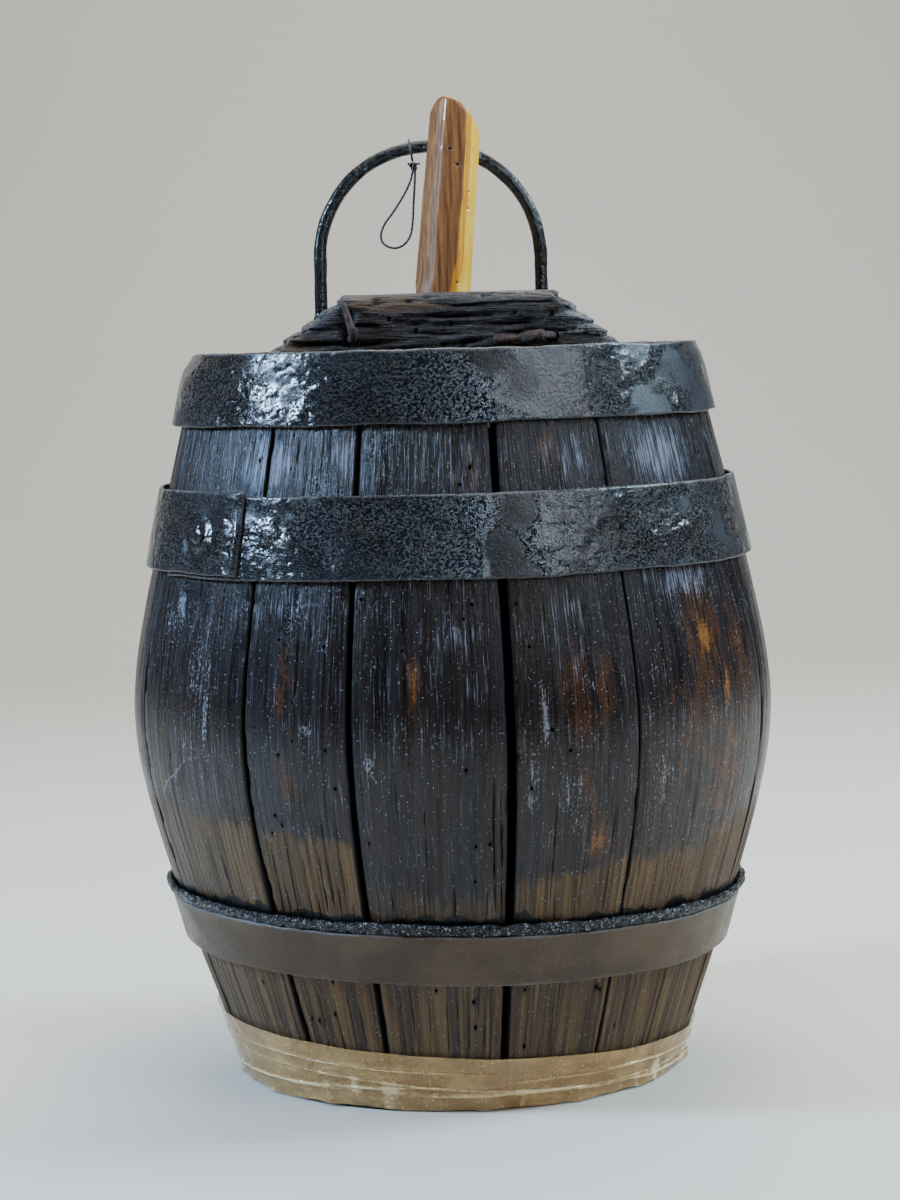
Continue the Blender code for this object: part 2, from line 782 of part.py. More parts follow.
def handle_nail(side, leave, tip, clench_radii):
    crossing = Vector((legs[side], HANDLE_Y, block_top - NAIL_DROP))
    leave = Vector((leave[0], block_front, block_top - leave[1]))
    way = (leave - crossing).normalized()
    bend = clench_radii[0] + 0.001
    corner = leave + way * (bend + 2 * GAP)
    tip = Vector((tip[0], block_front - GAP - clench_radii[1], block_top - tip[1]))
    # The head's underside stands clear of the block's back along its whole rim
    lean = math.tan(way.angle(Vector((0.0, -1.0, 0.0))))
    off = NAIL_HEAD_RADIUS * lean + 2 * GAP
    foot = crossing + way * (block_front + BLOCK_DEPTH + off - HANDLE_Y) / way.y
    arc = rounded_corner(foot, corner, tip, bend)
    route = [foot - way * NAIL_HEAD_THICKNESS, foot, foot + way * GAP, leave, *arc]
    radii = [NAIL_HEAD_RADIUS] * 2 + [NAIL_RADIUS] * 2
    for share in between(0.0, 1.0, len(arc)):
        radii.append(NAIL_RADIUS + (clench_radii[0] - NAIL_RADIUS) * smooth_step(share))
    for share in between(0.0, 1.0, 5)[1:]:
        route.append(arc[-1].lerp(tip, share))
        radii.append(clench_radii[0] + (clench_radii[1] - clench_radii[0]) * share)
    rod(f"handle_nail_{side}", route, radii, "rusty_iron")
    start = foot - way * NAIL_HEAD_THICKNESS
    end = leave + way * NAIL_HEAD_THICKNESS
    hole = bar(f"handle_nail_hole_{side}", start, end, NAIL_RADIUS + GAP)
    cut(block, hole)
    cut(handle, hole)


handle_nail("left", LEFT_NAIL_EXIT, LEFT_NAIL_TIP, LEFT_CLENCH_RADII)
handle_nail("right", RIGHT_NAIL_EXIT, RIGHT_NAIL_TIP, RIGHT_CLENCH_RADII)


# Nails from outside through a stave into each end of the block, sunk below the top hoop

end_nail_z = block_bottom + END_NAIL_RISE
end_nail_top = outer_radius(end_nail_z + END_NAIL_HEAD_RADIUS) - GAP
end_nail_seat = end_nail_top - END_NAIL_HEAD_THICKNESS
end_nail_tip = inner_radius(end_nail_z) - END_NAIL_GRIP
for side, angle in (("left", -90.0), ("right", 90.0)):
    nail = turned(
        f"block_end_nail_{side}",
        [
            (0.0, end_nail_top),
            (END_NAIL_HEAD_RADIUS, end_nail_top),
            (END_NAIL_HEAD_RADIUS, end_nail_seat),
            (END_NAIL_RADIUS, end_nail_seat),
            (END_NAIL_RADIUS, end_nail_tip + END_NAIL_HEAD_RADIUS),
            (0.0, end_nail_tip),
        ],
        12,
        "rusty_iron",
    )
    nail.rotation_mode = "QUATERNION"
    nail.rotation_quaternion = outward(angle).to_track_quat("Z", "Y")
    nail.location = (0.0, 0.0, end_nail_z)
    hole = turned(
        f"block_end_nail_hole_{side}",
        [
            (0.0, end_nail_top + STAVE_THICKNESS),
            (END_NAIL_HEAD_RADIUS + GAP, end_nail_top + STAVE_THICKNESS),
            (END_NAIL_HEAD_RADIUS + GAP, end_nail_seat - GAP),
            (END_NAIL_RADIUS + GAP, end_nail_seat - GAP),
            (END_NAIL_RADIUS + GAP, end_nail_tip - GAP),
            (0.0, end_nail_tip - GAP),
        ],
        12,
    )
    hole.rotation_mode = "QUATERNION"
    hole.rotation_quaternion = nail.rotation_quaternion
    hole.location = nail.location
    cut(stave_at(angle), hole)
    cut(block, hole)


# Cord: a turn round the handle, a knot below it and a hanging loop

cord_turn_angle = math.acos((CORD_X - HANDLE_X) / arch_radius)
rod_centre = arch_point(cord_turn_angle)
across = Vector((0.0, 1.0, 0.0))
away_from_rod = (rod_centre - Vector((HANDLE_X, HANDLE_Y, arch_middle))).normalized()
knot_centre = rod_centre - away_from_rod * KNOT_DROP
turn_radius = ROD_RADIUS + GAP + CORD_RADIUS
strand_bottom = -(KNOT_DROP - KNOT_HEIGHT / 2 - GAP)
turn_route = [(STRAND_SPREAD, strand_bottom)]
for turn in between(math.radians(-50.0), math.radians(230.0), 19):
    turn_route.append((turn_radius * math.cos(turn), turn_radius * math.sin(turn)))
turn_route.append((-STRAND_SPREAD, strand_bottom))
route = [rod_centre + across * y + away_from_rod * rise for y, rise in turn_route]
rod("cord_turn", route, [CORD_RADIUS] * len(route), "cord_fibre")

shape = bmesh.new()
size = Vector((KNOT_RADIUS, KNOT_RADIUS, KNOT_HEIGHT / 2))
bmesh.ops.create_uvsphere(
    shape,
    u_segments=12,
    v_segments=8,
    radius=1.0,
    matrix=Matrix.Diagonal(size).to_4x4(),
)
knot = solid("cord_knot", shape, "cord_fibre")
knot.location = knot_centre

route = [knot_centre + Vector((x, y, -drop)) for x, y, drop in CORD_ROUTE]
route = smooth_route(route, CORD_SPACING)
rod("cord_loop", route, [CORD_RADIUS] * len(route), "cord_fibre")
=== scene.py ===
import math

import bmesh
import bpy
import numpy as np
from mathutils import Matrix, Vector


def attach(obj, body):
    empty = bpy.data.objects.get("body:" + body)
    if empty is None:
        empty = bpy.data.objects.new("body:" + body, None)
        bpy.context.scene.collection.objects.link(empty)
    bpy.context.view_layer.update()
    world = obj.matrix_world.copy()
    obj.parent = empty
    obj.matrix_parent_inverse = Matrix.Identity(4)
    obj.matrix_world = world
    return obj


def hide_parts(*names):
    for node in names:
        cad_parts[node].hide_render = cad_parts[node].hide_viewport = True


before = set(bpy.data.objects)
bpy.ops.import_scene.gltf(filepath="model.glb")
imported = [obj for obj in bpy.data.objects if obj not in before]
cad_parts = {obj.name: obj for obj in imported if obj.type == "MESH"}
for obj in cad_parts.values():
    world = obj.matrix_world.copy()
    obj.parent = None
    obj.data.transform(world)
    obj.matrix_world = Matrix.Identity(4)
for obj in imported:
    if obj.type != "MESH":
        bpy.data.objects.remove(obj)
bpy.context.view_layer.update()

# A hand-carried oak wine barrel: staves, forged hoops, tarred joint, taped base, carrying block,
# handle, cord and stopper. Metres, +Z up, front towards -Y. Angles are in degrees round the
# cask, from 0 at the front and positive towards +X.

# Camera

cameraSetting = {"place": (0.0, -1.359, 0.337), "down": 5.02, "roll": -1.66, "lens": 87.0}

cameraData = bpy.data.cameras.new("camera")
cameraData.lens = cameraSetting["lens"]
camera = bpy.data.objects.new("camera", cameraData)
bpy.context.scene.collection.objects.link(camera)
camera.matrix_world = (
    Matrix.Translation(cameraSetting["place"])
    @ Matrix.Rotation(math.radians(90.0 - cameraSetting["down"]), 4, "X")
    @ Matrix.Rotation(math.radians(cameraSetting["roll"]), 4, "Z")
)
bpy.context.scene.camera = camera
print("camera placed")


# Unevenness shared by all pieces


def unevenness(x, y, z, seed):
    # A random height from -1 to 1 at each whole-numbered corner, blended between the corners
    # by smooth steps
    heights = np.random.default_rng(seed).uniform(-1.0, 1.0, (32, 32, 32))
    place = np.stack(np.broadcast_arrays(x, y, z), -1).astype(float)
    corner = np.floor(place).astype(int)
    part = place - corner
    part = part * part * (3.0 - 2.0 * part)
    total = np.zeros(place.shape[:-1])
    for step in ((i, j, k) for i in (0, 1) for j in (0, 1) for k in (0, 1)):
        share = np.abs(1 - np.array(step) - part).prod(-1)
        at = (corner + step) % 32
        total += share * heights[at[..., 0], at[..., 1], at[..., 2]]
    return total


def layered(x, y, z, seed, layers=3):
    # Unevenness with finer and weaker unevenness on it, each half as large and half as strong
    total = 0.0
    for layer in range(layers):
        scale = 2.0**layer
        total = total + unevenness(x * scale, y * scale, z * scale, seed + layer) / scale
    return total


def smoothStep(value, low, high):
    # From 0 at low to 1 at high, level at both ends
    share = np.clip((value - low) / (high - low), 0.0, 1.0)
    return share * share * (3.0 - 2.0 * share)


# Making meshes


def gridFaces(rows, columns, ring=False, tube=False):
    # Corners of each square of a grid of points: tube joins the last column to the first, and
    # ring the last row to the first
    i = np.arange(rows if ring else rows - 1)[:, None]
    j = np.arange(columns if tube else columns - 1)[None, :]
    iNext, jNext = (i + 1) % rows, (j + 1) % columns
    corners = (i * columns + j, i * columns + jNext, iNext * columns + jNext, iNext * columns + j)
    return np.stack(np.broadcast_arrays(*corners), -1).reshape(-1, 4)


def finishPiece(made, body, finish, replaced=()):
    made.data.materials.clear()
    made.data.materials.append(finish.material)
    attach(made, body)
    if replaced:
        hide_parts(*replaced)
    return made


def piece(name, points, faces, values=None, uv=None, smoothBelow=40.0):
    # A closed mesh from points and faces: values are numbers kept at the points for the finish,
    # and uv gives each face corner's place on the surface in metres
    mesh = bpy.data.meshes.new(name)
    mesh.from_pydata(points.reshape(-1, 3).tolist(), [], [list(face) for face in faces])
    for key, value in (values or {}).items():
        attribute = mesh.attributes.new(key, "FLOAT", "POINT")
        attribute.data.foreach_set("value", np.asarray(value, np.float32).ravel())
    if uv is not None:
        layer = mesh.uv_layers.new(name="grain")
        layer.uv.foreach_set("vector", np.asarray(uv, np.float32).ravel())
    return addMesh(name, mesh, smoothBelow)


def addMesh(name, mesh, smoothBelow=40.0):
    # The faces are turned over if the volume they enclose comes out negative
    mesh.calc_loop_triangles()
    corners = np.zeros(len(mesh.loop_triangles) * 3, np.int32)
    mesh.loop_triangles.foreach_get("vertices", corners)
    spots = np.zeros(len(mesh.vertices) * 3, np.float32)
    mesh.vertices.foreach_get("co", spots)
    a, b, c = spots.reshape(-1, 3)[corners.reshape(-1, 3)].transpose(1, 0, 2)
    if (a * np.cross(b, c)).sum() < 0.0:
        mesh.flip_normals()
    mesh.shade_smooth()
    mesh.set_sharp_from_angle(angle=math.radians(smoothBelow))
    made = bpy.data.objects.new(name, mesh)
    bpy.context.scene.collection.objects.link(made)
    return made


def merged(mesh, distance=0.000002):
    shape = bmesh.new()
    shape.from_mesh(mesh)
    bmesh.ops.remove_doubles(shape, verts=shape.verts, dist=distance)
    shape.to_mesh(mesh)
    shape.free()
    return mesh


def peak(value, width):
    # A bell: 1 where value is 0, and nearly nothing beyond two widths
    return np.exp(-((value / width) ** 2))


def unit(vectors):
    return vectors / np.linalg.norm(vectors, axis=-1, keepdims=True)


def tubePoints(path, radii, sides, reference):
    # Rings of points square to a path: radii is one number for each ring, or one for each point
    path = np.asarray(path, float)
    along = unit(np.gradient(path, axis=0))
    side = unit(np.cross(along, np.asarray(reference, float)))
    up = np.cross(side, along)
    turn = np.linspace(0.0, 2.0 * math.pi, sides, endpoint=False)[None, :]
    radii = np.asarray(radii, float)
    radii = radii[:, None] if radii.ndim == 1 else radii
    across = np.cos(turn)[..., None] * side[:, None] + np.sin(turn)[..., None] * up[:, None]
    return path[:, None] + radii[..., None] * across


def tube(name, path, radii, sides, reference):
    points = tubePoints(path, radii, sides, reference)
    faces = gridFaces(len(points), sides, tube=True).tolist()
    last = (len(points) - 1) * sides
    faces += [list(range(sides))[::-1], list(range(last, last + sides))]
    return piece(name, points, faces)


def evenly(path, spacing):
    # Points at even distances along a path
    path = np.asarray(path, float)
    walked = np.append(0.0, np.cumsum(np.linalg.norm(np.diff(path, axis=0), axis=1)))
    at = np.linspace(0.0, walked[-1], round(walked[-1] / spacing) + 1)
    return np.stack([np.interp(at, walked, path[:, k]) for k in range(3)], 1)


def rounded(path, spacing):
    # Even points along the Catmull-Rom curve through a path
    path = np.asarray(path, float)
    ends = np.vstack([2 * path[0] - path[1], path, 2 * path[-1] - path[-2]])
    a, b, c, d = (ends[i : len(ends) - 3 + i, None] for i in range(4))
    t = np.linspace(0.0, 1.0, 25)[None, :, None]
    bend = (2 * a - 5 * b + 4 * c - d) * t**2 + (3 * b - a - 3 * c + d) * t**3
    curve = ((2 * b + (c - a) * t + bend) / 2)[:, :-1].reshape(-1, 3)
    return evenly(np.vstack([curve, path[-1]]), spacing)


# Finishes


class Feed:
    # A socket's output inside a finish: sums written with it become Math nodes
    def __init__(self, finish, socket):
        self.finish, self.socket = finish, socket

    def sum(self, operation, first, second):
        return self.finish.node("Math", {"operation": operation}, {0: first, 1: second})

    def __add__(self, other):
        return self.sum("ADD", self, other)

    def __radd__(self, other):
        return self.sum("ADD", other, self)

    def __sub__(self, other):
        return self.sum("SUBTRACT", self, other)

    def __rsub__(self, other):
        return self.sum("SUBTRACT", other, self)

    def __mul__(self, other):
        return self.sum("MULTIPLY", self, other)

    def __rmul__(self, other):
        return self.sum("MULTIPLY", other, self)


class Finish:
    # A material built round one Principled shader, whose fixed values are set on its sockets
    def __init__(self, name, fixed=None):
        self.material = bpy.data.materials.new(name)
        self.material.use_nodes = True
        self.tree = self.material.node_tree
        self.shader = self.tree.nodes["Principled BSDF"]
        for socket, value in (fixed or {}).items():
            self.shader.inputs[socket].default_value = value

    def node(self, kind, settings=None, values=None, output=0):
        # Any node: its settings come first, then the values or links of its sockets
        made = self.tree.nodes.new("ShaderNode" + kind)
        for setting, value in (settings or {}).items():
            setattr(made, setting, value)
        for socket, value in (values or {}).items():
            if isinstance(value, Feed):
                self.tree.links.new(value.socket, made.inputs[socket])
            elif isinstance(value, tuple) and made.inputs[socket].type == "RGBA":
                made.inputs[socket].default_value = (*value, 1.0)
            else:
                made.inputs[socket].default_value = value
        return Feed(self, made.outputs[output])

    def place(self):
        return self.node("TexCoord", output="Object")

    def grainPlace(self):
        return self.node("UVMap", {"uv_map": "grain"})

    def kept(self, name):
        return self.node("Attribute", {"attribute_name": name}, output="Fac")

    def noise(self, place, scale, detail=3.0, roughness=0.55, distortion=0.0):
        # Scale is how many features there are to a metre along each axis
        scaled = self.node("VectorMath", {"operation": "MULTIPLY"}, {0: place, 1: scale})
        values = {"Vector": scaled, "Scale": 1.0, "Detail": detail}
        values.update({"Roughness": roughness, "Distortion": distortion})
        return self.node("TexNoise", None, values)

    def cells(self, place, scale):
        # Distance from the nearest of so many points to a metre along each axis
        scaled = self.node("VectorMath", {"operation": "MULTIPLY"}, {0: place, 1: scale})
        return self.node("TexVoronoi", None, {"Vector": scaled, "Scale": 1.0}, "Distance")

    def between(self, value, low, high):
        # From 0 at low to 1 at high, in a smooth step
        values = {"Value": value, "From Min": low, "From Max": high}
        return self.node("MapRange", {"interpolation_type": "SMOOTHSTEP"}, values)

    def mix(self, share, first, second):
        return self.node("Mix", {"data_type": "RGBA"}, {0: share, 6: first, 7: second}, 2)

    def stained(self, colour, stains):
        # Each stain is a share and a tone, laid over what is there already
        for share, tone in stains:
            colour = self.mix(share, colour, tone)
        return colour

    def bump(self, height, distance):
        return self.node("Bump", None, {"Height": height, "Distance": distance, "Strength": 1.0})

    def give(self, **feeds):
        # Links what changes over the surface to the shader
        names = {"colour": "Base Color", "roughness": "Roughness", "normal": "Normal"}
        names.update({"alpha": "Alpha", "metallic": "Metallic"})
        for key, feed in feeds.items():
            self.tree.links.new(feed.socket, self.shader.inputs[names[key]])
        return self


# Cord: a ring round the handle, a knot and a hanging loop, as two twisted strands

cordSetting = {
    "diameter": 0.001,
    "rod": (-0.0125, 0.014, 0.42940),  # centre of the handle's rod where the cord hangs
    "away": (-0.151923, 0.0, 0.988392),
    "ringRadius": 0.00385,
    "drop": 0.0086,  # from the rod's centre to the knot's
    "knotRadius": 0.0017,
    "knotHeight": 0.0046,
    "spread": 0.0008,
    "twist": 2600.0,  # turns of the strands, in radians to a metre
    "dark": (0.008, 0.007, 0.007),
    "fibre": (0.045, 0.034, 0.028),
    "worn": (0.16, 0.14, 0.12),
    "route": (
        (-0.0003, -0.0006, 0.0010),
        (-0.0006, -0.0009, 0.0029),
        (-0.0020, -0.0008, 0.0075),
        (-0.0056, -0.0004, 0.0142),
        (-0.0104, 0.0000, 0.0212),
        (-0.0146, 0.0003, 0.0268),
        (-0.0163, 0.0005, 0.0318),
        (-0.0150, 0.0006, 0.0357),
        (-0.0103, 0.0007, 0.0377),
        (-0.0056, 0.0008, 0.0362),
        (-0.0024, 0.0009, 0.0318),
        (-0.0011, 0.0010, 0.0250),
        (-0.0004, 0.0011, 0.0160),
        (0.0002, 0.0010, 0.0090),
        (0.0006, 0.0009, 0.0029),
        (0.0004, 0.0006, 0.0010),
    ),
}

cordRod = np.array(cordSetting["rod"])
cordAway = np.array(cordSetting["away"])
knotCentre = cordRod - cordAway * cordSetting["drop"]


def cordFibre():
    finish = Finish("waxedCord", {"Sheen Weight": 0.15})
    place = finish.place()
    fibres = finish.noise(place, (2500.0, 2500.0, 900.0), 3.0)
    wear = finish.noise(place, (180.0, 180.0, 180.0), 2.0)
    lit = finish.between(fibres, 0.35, 0.7)
    colour = finish.mix(lit, cordSetting["dark"], cordSetting["fibre"])
    colour = finish.mix(finish.between(wear, 0.55, 0.7) * 0.5, colour, cordSetting["worn"])
    normal = finish.bump(fibres, 0.0002)
    return finish.give(colour=colour, roughness=0.45 + fibres * 0.25, normal=normal)


cordFinish = cordFibre()


def strand(name, path, reference):
    # Two strands side by side turn round the path, so a ring's radius swells and narrows twice
    walked = np.append(0.0, np.cumsum(np.linalg.norm(np.diff(path, axis=0), axis=1)))
    turn = np.linspace(0.0, 2.0 * math.pi, 12, endpoint=False)[None, :]
    swell = np.abs(np.cos(turn - walked[:, None] * cordSetting["twist"] / 2))
    radii = cordSetting["diameter"] / 2 * (0.90 + 0.24 * swell)
    return tube(name, path, radii, 12, reference)


loopRoute = [knotCentre + np.array((x, y, -drop)) for x, y, drop in cordSetting["route"]]
loopPath = rounded(loopRoute, 0.0005)
cordLoop = strand("cordLoop", loopPath, (0.0, 1.0, 0.0))
finishPiece(cordLoop, "cord", cordFinish, ["cord_loop"])

ringTurn = np.radians(np.linspace(-50.0, 230.0, 90))
ringAcross = cordSetting["ringRadius"] * np.cos(ringTurn)
ringRise = cordSetting["ringRadius"] * np.sin(ringTurn)
strandFoot = -(cordSetting["drop"] - cordSetting["knotHeight"] / 2 - 0.0003)
ringAcross = np.concatenate([[cordSetting["spread"]], ringAcross, [-cordSetting["spread"]]])
ringRise = np.concatenate([[strandFoot], ringRise, [strandFoot]])
ringPath = cordRod + ringAcross[:, None] * np.array((0.0, 1.0, 0.0)) + ringRise[:, None] * cordAway
cordRing = strand("cordRing", rounded(ringPath[::3], 0.0005), (cordAway[2], 0.0, -cordAway[0]))
finishPiece(cordRing, "cord", cordFinish, ["cord_turn"])

# The knot is a trefoil: three crossings of one strand, with two short tails
knotTurn = np.linspace(0.0, 2.0 * math.pi, 121)
knotWide = (cordSetting["knotRadius"] - 0.0006) / 3.0
knotPath = np.stack(
    [
        (np.sin(knotTurn) + 2.0 * np.sin(2.0 * knotTurn)) * knotWide,
        (np.cos(knotTurn) - 2.0 * np.cos(2.0 * knotTurn)) * knotWide * 0.9,
        -np.sin(3.0 * knotTurn) * cordSetting["knotHeight"] * 0.3,
    ],
    1,
)
knotRings = tubePoints(knotPath[:-1], np.full(120, 0.00064), 10, (0.02, 0.03, 1.0))
knotFaces = gridFaces(120, 10, ring=True, tube=True).tolist()
tails = [
    [(0.0009, -0.0004, 0.0006), (0.0019, -0.0011, 0.0012), (0.0030, -0.0012, 0.0011)],
    [(-0.0009, -0.0002, -0.0004), (-0.0018, -0.0009, 0.0006), (-0.0026, -0.0010, 0.0018)],
]
knotPoints = [knotRings.reshape(-1, 3)]
for tail in tails:
    tailPath = rounded(tail, 0.0003)
    rings = tubePoints(tailPath, np.full(len(tailPath), 0.00048), 8, (0.0, 1.0, 0.2))
    base = sum(len(part) for part in knotPoints)
    faces = gridFaces(len(rings), 8, tube=True) + base
    knotFaces += faces.tolist()
    last = base + (len(rings) - 1) * 8
    knotFaces += [list(range(base, base + 8))[::-1], list(range(last, last + 8))]
    knotPoints.append(rings.reshape(-1, 3))
cordKnot = piece("cordKnot", np.vstack(knotPoints) + knotCentre, knotFaces)
finishPiece(cordKnot, "cord", cordFinish, ["cord_knot"])

loopLength = float(np.linalg.norm(np.diff(loopPath, axis=0), axis=1).sum())
print("cord made,", round(loopLength, 4))


# Outline of the cask

cask = {
    "length": 0.336,
    "bilgeRadius": 0.1503,
    "bilgeHeight": 0.171,
    "rimRadius": 0.1158,
    "baseRadius": 0.1035,
    "upperRounding": 0.030,
    "lowerRounding": 0.050,
    "wall": 0.016,
    "bandGap": 0.0005,
}


def fall(distance, rounding):
    # A hyperbola: level at first, then a straight slope
    return np.hypot(distance, rounding) - rounding


def outerRadius(z):
    # Outside of the staves at a height: widest at the bilge, with a straight taper both ways
    z = np.clip(z, 0.0, cask["length"])
    wide, height = cask["bilgeRadius"], cask["bilgeHeight"]
    bendUp, bendDown = cask["upperRounding"], cask["lowerRounding"]
    up = fall(z - height, bendUp) / fall(cask["length"] - height, bendUp)
    down = fall(height - z, bendDown) / fall(height, bendDown)
    upper = wide - (wide - cask["rimRadius"]) * up
    lower = wide - (wide - cask["baseRadius"]) * down
    return np.where(z >= height, upper, lower)


def onRing(angle, radius, z):
    # Points at an angle, a radius and a height round the cask
    turn = np.radians(angle)
    points = np.broadcast_arrays(radius * np.sin(turn), -radius * np.cos(turn), z)
    return np.stack(points, -1)


# Staves

